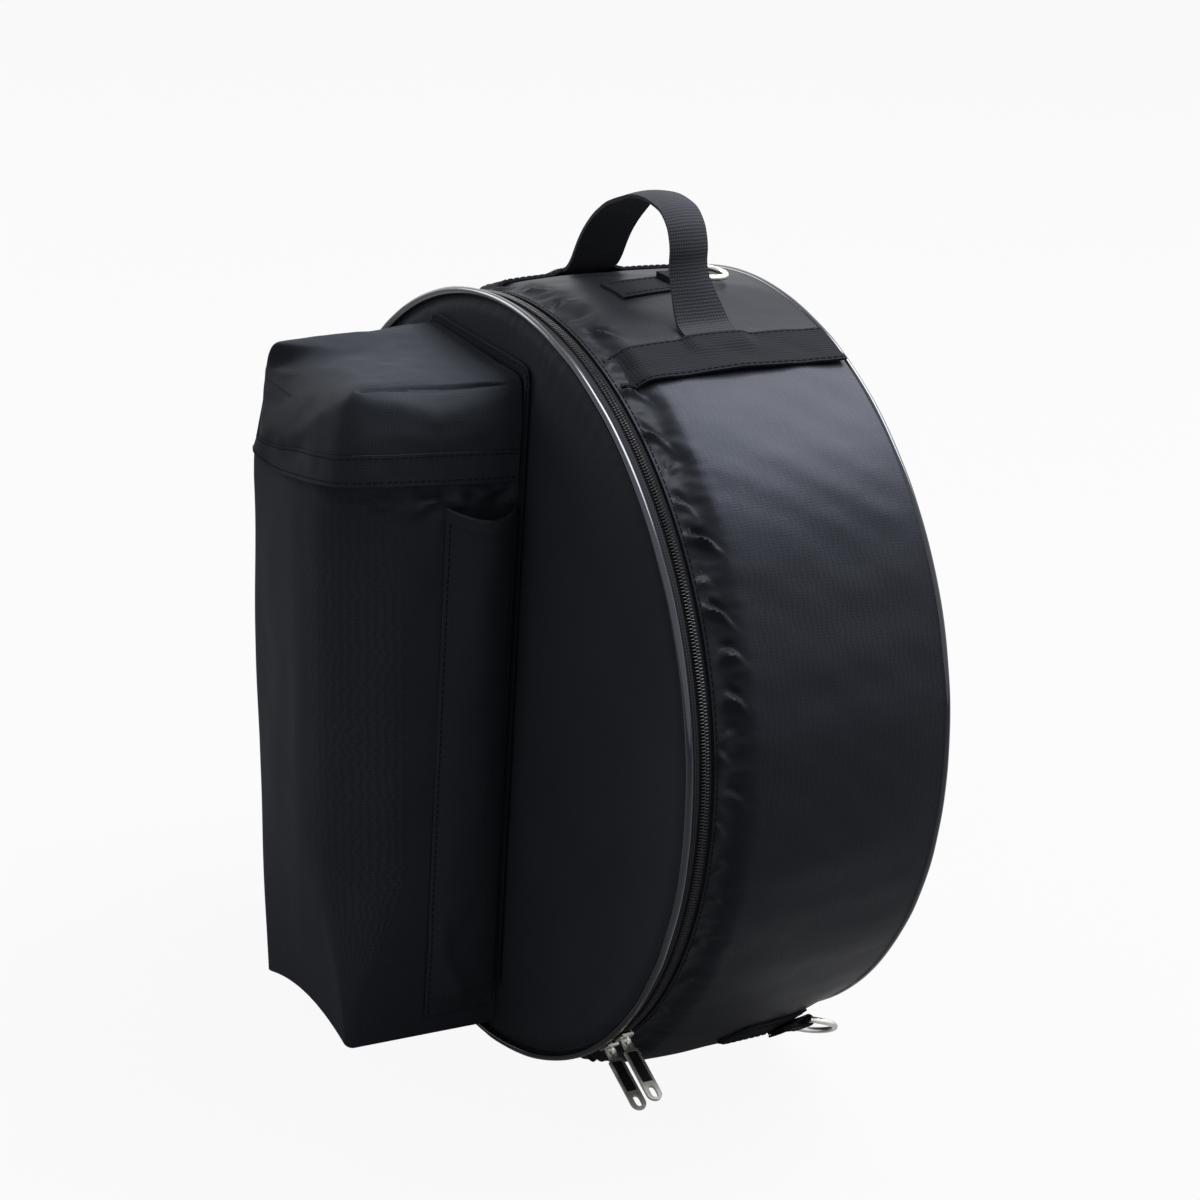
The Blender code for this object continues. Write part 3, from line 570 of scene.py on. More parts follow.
def shellRadius(y):
    padded = (shell["backEdge"] - y) / (shell["backEdge"] - shell["foamEdge"])
    if padded <= 1:
        rest = mix(shell["backRadius"], shell["shoulder"], smoothStep(0, 1, padded))
        return rest + shell["crown"] * (1 - abs(2 * padded - 1) ** 3)
    loose = min(1, (shell["foamEdge"] - y) / (shell["foamEdge"] - shell["seam"]))
    start = smoothStep(shell["fallFrom"], shell["fallTo"], 0)
    fall = (smoothStep(shell["fallFrom"], shell["fallTo"], loose) - start) / (1 - start)
    return mix(shell["shoulder"], shell["zipRadius"], fall) - shell["dip"] * hump(loose) ** 2


def turnBetween(a, b):
    return (a - b + 180) % 360 - 180


# One pucker: a short curled ridge that leans, with a dent on its upper side
def puckerLift(angle, y):
    lift = 0.0
    for middle, depth, length, height, lean in puckers:
        turn = turnBetween(angle, middle)
        along = (y - depth) / (length / 2)
        if abs(turn) > pucker["reach"] or abs(along) > pucker["end"]:
            continue
        across = math.radians(turn) * bagRadius + lean * (y - depth) + pucker["curl"] * along * along
        ridge = bell(across, pucker["ridge"])
        dent = pucker["dentShare"] * bell(across - pucker["dentAt"], pucker["dent"])
        foot = pucker["footShare"] * bell(across, pucker["foot"])
        lift += height * math.exp(-along * along * pucker["fade"]) * (ridge - dent + foot)
    return lift


def shellLift(angle, y):
    a = math.radians(angle)
    spot = Vector((math.cos(a), 0, math.sin(a))) * 0.194
    padded = smoothStep(shell["backEdge"], shell["backEdge"] - 0.02, y)
    padded *= smoothStep(shell["foamEdge"] - 0.012, shell["foamEdge"] + 0.01, y)
    streak = Vector((spot.x, (y + spot.z * 0.35) * 0.28, spot.z))
    lift = shell["wave"] * padded * (ripple(streak, 0.021, 3) + 0.7 * ripple(streak, 0.05, 4))
    slant = 0.756 * a * bagRadius + 0.654 * y + 0.006 * ripple(spot, 0.04, 6)
    strength = shell["streak"] * padded * math.sin(2 * math.pi * slant / 0.021)
    lift += strength * max(0, 0.5 + ripple(streak, 0.03, 8))
    loose = smoothStep(shell["foamEdge"] + 0.006, shell["foamEdge"] - 0.008, y)
    loose *= smoothStep(shell["seam"], shell["seam"] + 0.006, y)
    lift += loose * 0.0011 * ripple((spot.x, y * 0.55, spot.z), 0.0085, 7)
    lift += loose * 0.0006 * ripple((spot.x, y * 0.4, spot.z), 0.0035, 9)
    if y < shell["foamEdge"] + 0.006:
        lift += puckerLift(angle, y) * smoothStep(shell["seam"], shell["seam"] + 0.004, y)
    below = turnBetween(-90, angle if math.cos(a) > 0 else 180 - angle) + 90  # 90 at the bottom, 0 at the side
    spread = sag["height"] * bell(below - sag["angle"], sag["width"])
    spread *= smoothStep(shell["seam"], shell["seam"] + 0.009, y) * smoothStep(shell["backEdge"], 0.034, y)
    lift += spread
    lift += saddle["height"] * bell(turnBetween(angle, saddle["angle"]), saddle["width"])
    for middle, depth, height in anchors.values():
        off = Vector((math.radians(turnBetween(angle, middle)) * bagRadius, y - depth))
        if off.length < 0.05:
            lift += height * math.exp(-((off.x / 0.019) ** 2) - (off.y / 0.024) ** 2)
    return lift


def shellLevel(angle, y):
    return shellRadius(y) + shellLift(angle, y)


def placeShell(u, v):
    y = shellDepth(v)
    return onFloor(rimPoint(u * 360, shellLevel(u * 360, y), y))


def makeShell():
    around = 2 * math.pi * bagRadius
    depth = shell["backEdge"] - shell["seam"]
    cloth = addSheet("shellCloth", shell["columns"], shell["rows"], (around, depth), placeShell, True)
    sew(cloth, shell["cloth"], tightOxford, "black_oxford_cloth", "shell", "gusset_cloth", angle=60)


makeShell()
seamY = shell["seam"] + shell["hold"]
seamLine = [rimPoint(a, shellLevel(a, seamY) + stitch["above"], seamY) for a in range(-160, 161)]
addStitches("shellSeamStitches", seamLine, "shell")
report("shell cloth is gathered along the zip")


# Rims: one piping torus, copied to both rims, gently uneven and pressed where it stands

piping = {"segments": 400, "sides": 14, "waver": 0.0003}


def addPiping(name, y, low, body, node, share, inward=0.0):
    deselect()
    radius = (pipingHigh.y - pipingLow.y) / 2 * share
    bpy.ops.mesh.primitive_torus_add(
        location=(0, y, hub.z), rotation=(math.radians(90), 0, 0), major_radius=pipingOuter - radius - inward,
        minor_radius=radius, major_segments=piping["segments"], minor_segments=piping["sides"],
    )
    ring = finish(named(bpy.context.object, name))
    for vertex in ring.data.vertices:
        spot = vertex.co.copy()
        vertex.co.y += piping["waver"] * ripple(spot, 0.02, 1)
        vertex.co.x += piping["waver"] * ripple(spot, 0.025, 2)
        vertex.co.z = max(vertex.co.z, low)
    dress(ring, vinylPiping, body)
    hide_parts(node)


addPiping("frontPiping", rimFront, pipingLow.z, "lid", "front_piping", 0.98)
addPiping("rearPiping", rimBack - 0.001, floorRest, "shell", "rear_piping", 0.85, 0.0011)


# Round panels: a grid pulled out to a circle

panels = {
    "radius": 0.1906, "crown": 0.0011, "pinch": 0.0022, "pinchWidth": 0.007, "pucker": 0.0005, "grid": 150,
    "padding": 0.0042,
}


def discSpot(u, v, radius):
    a, b = 2 * u - 1, 2 * v - 1
    return radius * a * math.sqrt(1 - b * b / 2), radius * b * math.sqrt(1 - a * a / 2)


def panelRelief(x, z, pocketed):
    reach = math.hypot(x, z)
    turn = math.degrees(math.atan2(z, x))
    rim = smoothStep(panels["radius"] - panels["pinchWidth"], panels["radius"], reach)
    relief = panels["crown"] * (1 - (reach / panels["radius"]) ** 4)
    relief *= 0.6 + 0.8 * ripple((x, 0, z), 0.07, 5)
    gather = ripple((turn * 0.0105, reach * 0.3, 0), 0.011, 8)
    relief += panels["pucker"] * gather * smoothStep(0.15, 0.19, reach)
    relief -= panels["pinch"] * rim
    if pocketed:
        inside = smoothStep(0.012, -0.002, x - 0.03) * smoothStep(-0.095, -0.081, x)
        relief = mix(relief, min(0, relief), inside)
    return relief


def addPanel(name, face, forward, body, *nodes, pocketed=False):
    radius = panels["radius"]

    def place(u, v):
        x, z = discSpot(u, v, radius)
        relief = panelRelief(x, z, pocketed)
        return onFloor(Vector((x if forward < 0 else -x, face + forward * relief, hub.z + z)))

    panel = addSheet(name, panels["grid"], panels["grid"], (2 * radius, 2 * radius), place)
    sew(panel, panels["padding"], slackClothPaintedFill, "black_oxford_cloth", body, *nodes)


addPanel("lidPanel", lidFace, -1, "lid", "lid_cloth", "lid_foam", pocketed=True)
addPanel("backPanel", -lidFace, 1, "shell", "back_cloth", "back_foam")


# Linings

lining = {
    "waves": 0.0004, "radius": 0.18905, "frontEdge": -0.057, "turnIn": -0.050, "tapeRadius": 0.1912,
    "cloth": 0.0004,
}


def addLiningDisc(name, face, forward, body, node):
    radius = lining["radius"] - 0.0005

    def place(u, v):
        x, z = discSpot(u, v, radius)
        lift = lining["waves"] * (0.5 + ripple((x, 0, z), 0.05, 11))
        lift *= smoothStep(radius, radius - 0.02, math.hypot(x, z))
        return Vector((-forward * x, face + forward * lift, hub.z + z))

    disc = addSheet(name, 90, 90, (2 * radius, 2 * radius), place)
    sew(disc, lining["cloth"], taffeta, "black_lining", body, node)


def placeShellLining(u, v):
    y = mix(lining["frontEdge"], -lidLining, v)
    turned = smoothStep(lining["turnIn"], lining["frontEdge"], y)
    radius = mix(lining["radius"], lining["tapeRadius"], turned)
    spot = rimPoint(u * 360, radius, y)
    return rimPoint(u * 360, radius - lining["waves"] * (0.5 + ripple(spot, 0.04, 12)) * (1 - turned), y)


def makeLinings():
    addLiningDisc("lidLining", lidLining, 1, "lid", "lid_lining")
    addLiningDisc("backLining", backLining, -1, "shell", "back_lining")
    depth = -lidLining - lining["frontEdge"]
    around = 2 * math.pi * lining["radius"]
    tube = addSheet("shellLining", 288, 30, (around, depth), placeShellLining, True)
    sew(tube, lining["cloth"], taffeta, "black_lining", "shell", "gusset_lining", "gusset_foam")


makeLinings()
report("rims, round panels and linings are in")


# Zip

zipChain = {
    "end": 162.8, "pitch": 0.0016, "toothReach": 0.0013, "toothHeight": 0.0006, "wire": 0.00028,
    "centre": 0.0009, "radius": 0.19205, "tape": 0.0005,
}


# A tape follows its section, which is a line of points as depth and radius
def addTape(name, section, body, node):
    steps = [(Vector(b) - Vector(a)).length for a, b in zip(section, section[1:])]
    width = sum(steps)

    def place(u, v):
        at = v * width
        for (a, b), step in zip(zip(section, section[1:]), steps):
            if at <= step + 0.000001:
                break
            at -= step
        spot = Vector(a).lerp(Vector(b), clamp(at / step))
        return onFloor(rimPoint(mix(-zipChain["end"], zipChain["end"], u), spot.y, spot.x))

    span = math.radians(2 * zipChain["end"]) * zipChain["radius"]
    tape = addSheet(name, 320, 14, (span, width), place)
    if section[-1][0] > section[0][0]:
        tape.data.flip_normals()
    sew(tape, zipChain["tape"], zipTape, "zip_tape", body, node)


# One turn of the coil, copied round the rim: a flat loop that lies across the tape
def addCoil(name, side, shift, body, node):
    deselect()
    bpy.ops.mesh.primitive_torus_add(
        major_radius=zipChain["toothHeight"] - zipChain["wire"] / 2, minor_radius=zipChain["wire"],
        major_segments=10, minor_segments=5,
    )
    tooth = named(bpy.context.object, name)
    for vertex in tooth.data.vertices:
        stretch = math.copysign(zipChain["toothReach"] - zipChain["toothHeight"], vertex.co.x)
        vertex.co = Vector((vertex.co.z, vertex.co.x + stretch, vertex.co.y))
    across = zipLine + side * zipChain["centre"]
    tooth.matrix_world = rimFrame(shift - zipChain["end"], zipChain["radius"], across)
    bpy.ops.object.transform_apply()
    sweep = math.radians(2 * zipChain["end"] - 1)
    count = int(sweep * zipChain["radius"] / zipChain["pitch"])
    bpy.ops.object.mode_set(mode="EDIT")
    bpy.ops.mesh.select_all(action="SELECT")
    bpy.ops.mesh.spin(steps=count, dupli=True, angle=sweep, center=hub, axis=(0, -1, 0))
    bpy.ops.mesh.select_all(action="SELECT")
    bpy.ops.mesh.normals_make_consistent(inside=False)
    bpy.ops.object.mode_set(mode="OBJECT")
    dress(finish(tooth), coilNylon, body)
    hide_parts(node)


halfPitch = math.degrees(zipChain["pitch"] / 2 / zipChain["radius"])
lidSeam = rimFront + 0.0018
lidSection = [
    (zipLine - 0.0004, 0.1911), (zipLine - 0.0029, 0.1911), (zipLine - 0.0032, 0.1922), (lidSeam, 0.1931),
    (lidSeam + 0.0006, 0.1884),
]
shellSection = [(zipLine + 0.0004, 0.1911), (zipLine + 0.0032, 0.1911), (shell["seam"] + 0.007, 0.1913)]
addTape("zipTapeLid", lidSection, "lid", "zip_tape_lid")
addTape("zipTapeShell", shellSection, "shell", "zip_tape_shell")
addCoil("zipCoilLid", -1, 0.3, "lid", "zip_coil_lid")
addCoil("zipCoilShell", 1, 0.3 + halfPitch, "shell", "zip_coil_shell")


# The cloth hinge where the zip stops, one sheet that lies between shell and lid
hinge = {
    "half": 17.6, "radius": 0.1928, "cloth": 0.0009, "wave": 0.0003,
    "back": shell["seam"] + 0.002, "front": rimFront + 0.0016,
}


def placeHinge(u, v):
    angle = mix(180 - hinge["half"], 180 + hinge["half"], u)
    y = mix(hinge["back"], hinge["front"], v)
    radius = hinge["radius"] + hinge["wave"] * ripple((angle * 0.003, y, 0), 0.006, 21)
    return rimPoint(angle, radius, y)


def makeHinge():
    width = hinge["back"] - hinge["front"]
    span = math.radians(2 * hinge["half"]) * hinge["radius"]
    strip = addSheet("hingeStrip", 60, 16, (span, width), placeHinge)
    sew(strip, hinge["cloth"], slackClothPaintedFill, "black_oxford_cloth", None, "hinge_strip_shell", "hinge_strip_lid")
    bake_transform(strip)


makeHinge()
report("zip chain and hinge strip are in")


# Front pocket

pocket = {
    "right": 0.024, "left": -0.069, "flareFoot": -0.005, "flareMouth": -0.0065, "corner": 0.034, "tight": 0.004,
    "footDepth": 0.084, "mouthDepth": 0.097, "cloth": 0.0012, "mouth": pocketTop, "grid": 150,
    "foot": -0.181, "bow": 0.008, "straight": 0.094, "wave": 0.0011, "seam": 0.0004,
    "floorShare": 0.12,  # share of its sheet's rows that make the floor
    "sideBulge": 0.0020, "faceBulge": 0.0042, "lean": 0.005, "leanFrom": 0.102,
    "crumple": 0.006, "crumpleAt": 0.1075,
}
contourShares = {"side": 0.34, "corner": 0.06}


# The U of the pocket's walls seen from above, as x and depth, from the right seam to the left one
def pocketLine(u, deep, flare, corner):
    side, bend = contourShares["side"], contourShares["corner"]
    right, left = pocket["right"], pocket["left"] + flare
    if u > 0.5:
        across, deepAt = pocketLine(1 - u, deep, flare, corner)
        share = deepAt / deep
        return mix(pocket["left"], left, min(1, share * 1.06)) + (right - across), deepAt
    if u <= side:
        return right, mix(pocket["seam"], deep - corner, u / side)
    if u <= side + bend:
        turn = math.radians(90 * (u - side) / bend)
        return right - corner + corner * math.cos(turn), deep - corner + corner * math.sin(turn)
    share = (u - side - bend) / (0.5 - side - bend)
    return mix(right - corner, (right + left) / 2, share), deep


def pocketFoot(x, depth):
    rim = math.sqrt((lidHigh.x - 0.006) ** 2 - x * x)
    across = clamp((x - pocket["left"]) / (pocket["right"] - pocket["left"]))
    bowed = -pocket["foot"] - pocket["bow"] * 4 * across * (1 - across)
    return -mix(rim, bowed, clamp(depth / pocket["footDepth"]))


# How far a wall stands out from its seams, widest in the middle of each face
def wallBulge(u, height):
    side = contourShares["side"]
    along = hump(height)
    if u < side or u > 1 - side:
        share = (u if u < side else 1 - u) / side
        return Vector((1 if u < 0.5 else -1, 0)) * pocket["sideBulge"] * hump(share) * along
    share = (u - side) / (1 - 2 * side)
    return Vector((0, 1)) * pocket["faceBulge"] * hump(share) * along


def placePocket(u, v):
    floorShare = pocket["floorShare"]
    up = max(0, (v - floorShare) / (1 - floorShare))
    height = mix(pocket["foot"], pocket["mouth"], up)
    grown = min(1, (height - pocket["foot"]) / (pocket["straight"] - pocket["foot"]))
    depth = mix(pocket["footDepth"], pocket["mouthDepth"], grown)
    flare = mix(pocket["flareFoot"], pocket["flareMouth"], grown)
    corner = mix(pocket["tight"], pocket["corner"], smoothStep(0.02, 0.3, up) if u < 0.5 else 0)
    x, deep = pocketLine(u, depth, flare, corner)
    low = pocketFoot(x, deep)
    if v < floorShare:
        inward = 1 - v / floorShare
        middle = (pocket["right"] + pocket["left"]) / 2
        x, deep = mix(x, middle, inward), mix(deep, pocket["seam"], inward)
        return Vector((x, lidFace - deep, hub.z + pocketFoot(x, deep) + 0.001 * inward * (1 - inward)))
    z = mix(low, pocket["mouth"], up)
    leaning = smoothStep(pocket["leanFrom"], pocket["mouth"], z) * deep / depth
    deep = min(deep, mix(deep, deep - pocket["lean"], leaning))
    bulge = wallBulge(u, up)
    spot = Vector((x * 1.4, deep * 1.4, z * 0.55))
    ease = hump(u) ** 0.5 * smoothStep(0, 0.12, up)
    wave = pocket["wave"] * ripple(spot, 0.03, 31) * ease
    crumple = bell(z - pocket["crumpleAt"], 0.006) * smoothStep(0.42, 0.34, u)
    wave += pocket["crumple"] * crumple * ripple((x, deep * 1.1, z * 1.8), 0.011, 33)
    x += bulge.x + wave * (1 if u < 0.5 else -1)
    return Vector((x, lidFace - deep - bulge.y - wave * 0.5, hub.z + z))


def makePocket():
    around = 2 * pocket["mouthDepth"] + pocket["right"] - pocket["left"]
    tall = pocket["mouth"] - pocket["foot"] + 0.06
    body = addSheet("pocketCloth", pocket["grid"], pocket["grid"], (around, tall), placePocket, True)
    facing(body, insidePocket)
    sew(body, pocket["cloth"], slackClothPaintedFill, "black_oxford_cloth", "lid", "pocket_body")


makePocket()


# Pocket flap

# Its folds as rows of points in millimetres: across, depth and height above the bag's middle. The rows go up
# from the hem to the back seam, and each goes round from the right seam over the near corner and the front to
# the left seam.
flapFolds = [
    [(25, -76, 112.6), (26.6, -95, 113.9), (27, -117, 116), (27, -143, 118.3), (25.6, -161, 119.6),
     (19, -170, 118.6), (2, -173, 115.2), (-20, -172.6, 110.6), (-46, -172.2, 106.6), (-69, -172, 109.5),
     (-78.5, -152, 109.5), (-79, -112, 110.5), (-79, -76, 112.2)],
    [(26, -76, 128.4), (27.6, -96, 130.4), (28, -118, 132.4), (28, -144, 134.4), (26.4, -161.4, 135.6),
     (19, -170, 133.8), (2, -172.2, 130.4), (-19, -171.4, 125.6), (-45, -172, 119.6), (-66.6, -171, 118),
     (-78.5, -150, 125.6), (-79, -112, 127.6), (-79, -76, 129.4)],
    [(26.4, -75.6, 142), (28, -96, 141), (28.4, -118, 142), (28.4, -144, 146), (25.8, -160, 148),
     (17.8, -167.4, 150.6), (0, -169.6, 147), (-18.4, -171.8, 133.6), (-42, -172, 126.4),
     (-66, -170.6, 124.6), (-78.5, -150, 137), (-79, -112, 139), (-78.6, -75.6, 141)],
    [(24.2, -75.2, 155.6), (25.6, -95, 154.2), (27, -118.4, 152.4), (26.6, -141, 158.2),
     (23.4, -157.6, 160), (16.6, -165, 159), (-1, -167, 153), (-23, -168, 142), (-46.6, -168.8, 134.6),
     (-69, -168.4, 131), (-78, -151, 147), (-78.4, -112, 149), (-77, -75.4, 152)],
    [(22.6, -75, 160.6), (18.6, -96, 161.2), (18.4, -118.6, 161.6), (18.4, -138, 163.7),
     (17, -158, 164.3), (13.6, -161.4, 163.5), (-4, -163, 157.6), (-27.6, -163.4, 149.6),
     (-51, -165.2, 141.6), (-72.4, -166.4, 137), (-77, -152, 153), (-77, -112, 155.4), (-75, -75.2, 158)],
    [(21, -74.8, 162), (13, -96.6, 162.9), (10, -115, 164.4), (8, -131, 165.1), (6, -147, 165),
     (2, -152.4, 164.4), (-13, -155, 161), (-32.4, -158, 155.4), (-53.6, -161.8, 148),
     (-75, -164.4, 142.6), (-75.6, -152, 157), (-75.4, -112, 159), (-73.4, -75.2, 161.4)],
    [(19, -74.6, 163), (6.6, -95, 163.5), (-1, -110, 164.4), (-5.6, -124.6, 164.9), (-10, -133, 164.6),
     (-15, -140, 163.8), (-22, -146, 162.8), (-36.6, -152.4, 159), (-57, -158.6, 153.2),
     (-77.4, -162.8, 148), (-76, -152, 158.6), (-74.6, -112, 161), (-72.6, -75, 163)],
    [(16, -74.5, 163.6), (4, -84, 163.8), (-4, -92, 164.2), (-10, -102, 164.4), (-16, -110, 164.4),
     (-22, -116, 164.2), (-30, -121.4, 164), (-40, -128.6, 163.6), (-54, -142, 163.2),
     (-69.4, -159.8, 162.8), (-70.4, -145, 162.8), (-70.8, -111, 163.4), (-70.6, -74.9, 164.6)],
    [(13, -74.3, 163.8), (7, -74.4, 164), (-1, -74.4, 163.6), (-8, -74.4, 164), (-14, -74.4, 164.2),
     (-20, -74.4, 164.4), (-28, -74.4, 164.6), (-38, -74.4, 164.8), (-50, -74.4, 165),
     (-62, -74.4, 165.2), (-65, -74.4, 165.2), (-67, -74.4, 165.2), (-68.6, -74.4, 165.2)],
]
flap = {
    "acrossAt": [0, 0.063, 0.13, 0.212, 0.262, 0.3, 0.355, 0.42, 0.505, 0.6, 0.67, 0.79, 0.9999],
    "upAt": [0, 0.13, 0.25, 0.36, 0.45, 0.5, 0.6, 0.8, 0.9999],
    "cloth": 0.001, "wave": 0.0007, "pinch": 0.002, "pinchAt": 3.97, "hemCloth": 0.0008,
    "around": 0.29, "tall": 0.135, "hem": 0.0175, "hemAbove": 0.0008, "grid": 150,
}


def knotAt(knots, at):
    i = max(k for k in range(len(knots) - 1) if knots[k] <= max(0, at))
    return i + min(1, (at - knots[i]) / (knots[i + 1] - knots[i]))


# A point on a smooth line through points, by its place along their list, with bends that stay between them
def alongPoints(points, at):
    i = min(int(at), len(points) - 2)
    t = at - i
    near = [points[max(0, min(len(points) - 1, i + k))] for k in (-1, 0, 1, 2)]
    step = near[2] - near[1]
    limit = step.length
    pulls = [(near[2] - near[0]) / 2, (near[3] - near[1]) / 2]
    pulls = [pull * min(1, limit / max(pull.length, 0.0000001)) for pull in pulls]
    share = t * t * (3 - 2 * t)
    return near[1] + step * share + pulls[0] * (t * (1 - t) ** 2) - pulls[1] * (t * t * (1 - t))


foldPoints = [[Vector(p) / 1000 + Vector((0, 0, hub.z)) for p in row] for row in flapFolds]


def flapSpot(u, v):
    across, up = knotAt(flap["acrossAt"], u), knotAt(flap["upAt"], v)
    spot = alongPoints([alongPoints(row, across) for row in foldPoints], up)
    spot.y = min(spot.y, lidFace - 0.0016)
    return spot


def flapLift(u, v, spot):
    ease = smoothStep(0, 0.05, min(u, 1 - u)) * smoothStep(0, 0.04, v) * smoothStep(1, 0.9, v)
    across, up = knotAt(flap["acrossAt"], u), knotAt(flap["upAt"], v)
    crease = bell(up - flap["pinchAt"], 0.16) * smoothStep(0.1, 0.9, across) * smoothStep(4.6, 3.9, across)
    waves = ripple(spot, 0.022, 41) + 0.5 * ripple(spot, 0.009, 42)
    return flap["wave"] * ease * waves - flap["pinch"] * crease


# Raises each point of a grid along its normal, by a function of its two directions and its place
def raiseSheet(piece, columns, rows, lift):
    piece.data.update()
    normals = [vertex.normal.copy() for vertex in piece.data.vertices]
    for i, vertex in enumerate(piece.data.vertices):
        across, up = i % (columns + 1) / columns, i // (columns + 1) / rows
        vertex.co += normals[i] * lift(across, up, vertex.co)
    return piece


# A grid that follows the flap between four edges, raised from it
def addFlapSheet(name, columns, rows, cut, edges, raised):
    left, right, low, high = edges
    piece = addSheet(name, columns, rows, cut, lambda u, v: flapSpot(mix(left, right, u), mix(low, high, v)))
    facing(piece, insideFlap)

    def lift(u, v, spot):
        return raised + flapLift(mix(left, right, u), mix(low, high, v), spot)

    return raiseSheet(piece, columns, rows, lift)


def makeFlap():
    size = (flap["around"], flap["tall"])
    body = addFlapSheet("flapCloth", flap["grid"], flap["grid"], size, (0, 1, 0, 1), 0)
    sew(body, flap["cloth"], slackClothPaintedFill, "black_oxford_cloth", "flap", "pocket_flap", angle=60)
    hemSize = (flap["around"], flap["hem"])
    hem = addFlapSheet("flapHem", 170, 10, hemSize, (0, 1, 0, flap["upAt"][1]), flap["hemAbove"])
    for row in (2, 9):
        addStitches(f"flapHemStitches{row}", sheetLine(hem, 170, row=row), "flap")
    sew(hem, flap["hemCloth"], slackClothPaintedFill, "black_webbing", "flap", "flap_hem")


# Hook and loop strips, sewn inside the flap and on the pocket's front behind it
closure = {
    "size": (0.064, 0.018), "thick": 0.0006, "apart": 0.0002,
    "flap": (0.33, 0.54, 0.02, 0.15), "pocket": (0.3825, 0.5656, 0.925, 0.975),
}


def placeLoop(u, v):
    left, right, low, high = closure["pocket"]
    spot = placePocket(mix(left, right, u), mix(low, high, v))
    return spot - Vector((0, closure["thick"] + closure["apart"], 0))


def makeClosure():
    below = -flap["cloth"] - closure["apart"]
    hooks = addFlapSheet("hookStrip", 40, 12, closure["size"], closure["flap"], below)
    loops = facing(addSheet("loopStrip", 40, 12, closure["size"], placeLoop), insideFlap)
    for strip, body, node in ((hooks, "flap", "flap_hook_strip"), (loops, "lid", "pocket_loop_strip")):
        sew(strip, closure["thick"], loopTape, "hook_and_loop", body, node)


makeFlap()
makeClosure()
report("pocket and flap are in")


# Small side pocket

sidePocket = {
    "front": 0.042, "back": 0.004, "mouth": 0.103, "foot": -0.170, "mouthBulge": 0.0105, "footBulge": 0.003,
    "cloth": 0.001, "hem": 0.007, "hemCloth": 0.0006, "droop": 0.0035, "wave": 0.0012, "fold": 0.0022,
    "off": 0.0024,
}


def placeSidePocket(u, v, lift=0.0):
    depth = mix(sidePocket["front"], sidePocket["back"], u)
    out = mix(sidePocket["footBulge"], sidePocket["mouthBulge"], smoothStep(0, 1, v)) * hump(u) ** 0.8
    z = mix(sidePocket["foot"], sidePocket["mouth"] - 0.004 * u, v)
    out *= smoothStep(0, 0.05, v)
    wave = sidePocket["wave"] * ripple((u * 0.05, 0, z * 0.6), 0.018, 51) * hump(u) * smoothStep(0, 0.2, v)
    droop = sidePocket["droop"] * hump(u) * smoothStep(0.85, 1, v)
    fold = bell(u - mix(0.55, 0.16, smoothStep(-0.172, -0.128, z)), 0.13)
    wave += sidePocket["fold"] * fold * smoothStep(-0.17, -0.155, z) * smoothStep(-0.105, -0.135, z)
    x = pocket["right"] + sidePocket["off"] + out + wave + lift
    return Vector((x, lidFace - depth, hub.z + z - droop))


def makeSidePocket():
    width = sidePocket["front"] - sidePocket["back"]
    tall = sidePocket["mouth"] - sidePocket["foot"]
    body = addSheet("sidePocketCloth", 24, 120, (width, tall), placeSidePocket)
    addStitches("sidePocketStitches", sheetLine(body, 24, column=1), "lid")
    sew(body, sidePocket["cloth"], slackClothPaintedFill, "black_oxford_cloth", "lid", "side_pocket")
    hemShare = sidePocket["hem"] / tall

    def placeHem(u, v):
        up = 1 - abs(2 * v - 1)
        return placeSidePocket(u, 1 + 0.002 - hemShare * (1 - up), 0.0009 if v < 0.5 else -0.0011)

    hem = addSheet("sidePocketHem", 24, 16, (width, 2 * sidePocket["hem"]), placeHem)
    sew(hem, sidePocket["hemCloth"], slackClothPaintedFill, "black_webbing", "lid", "side_pocket_hem")


makeSidePocket()


# Bound seam round the pocket, lying on the lid
bindingStrip = {
    "width": 0.0056, "top": flapTop, "foot": -0.158, "thick": 0.0005, "fold": 0.0007,
    "left": pocket["left"] - 0.0003, "right": pocket["right"] + 0.0003,
}


def bindingPath(v):
    left, right, top, foot = (bindingStrip[edge] for edge in ("left", "right", "top", "foot"))
    corners = [Vector(spot) for spot in ((right, foot), (right, top), (left, top), (left, foot))]
    runs = list(zip(corners, corners[1:]))
    lengths = [(b - a).length for a, b in runs]
    at = v * sum(lengths)
    for (a, b), length in zip(runs, lengths):
        if at <= length or b is corners[-1]:
            return a + (b - a) * min(1, at / length), (b - a).normalized()
        at -= length


def placeBinding(u, v):
    spot, along = bindingPath(v)
    corner = 0.0
    outward = Vector((along.y, -along.x))
    under = u > 0.5
    spread = bindingStrip["width"] * (2 - 2 * u if under else 2 * u)
    for cornerX in (bindingStrip["right"], bindingStrip["left"]):
        near = max(0, 1 - (spot - Vector((cornerX, bindingStrip["top"]))).length / bindingStrip["width"])
        corner = max(corner, near)
    away = Vector((1 if spot.x > -0.02 else -1, 1)).normalized()
    outward = outward.lerp(away, smoothStep(0, 1, corner) * 0.999).normalized()
    spot = spot + outward * spread
    swell = 0.0 if under else bindingStrip["fold"] + 0.0004 * math.sin(2 * math.pi * u)
    return Vector((spot.x, lidFace - 0.0012 - swell, hub.z + spot.y))


def makeBinding():
    length = 2 * (bindingStrip["top"] - bindingStrip["foot"]) + pocket["right"] - pocket["left"]
    cut = 2 * bindingStrip["width"]
    strip = addSheet("pocketBinding", 12, 260, (cut, length), placeBinding)
    addStitches("bindingStitches", sheetLine(strip, 12, column=4), "lid")
    sew(strip, bindingStrip["thick"], binding, "black_webbing", "lid", "pocket_binding")


makeBinding()
report("side pocket and bound seam are in")


# Webbing

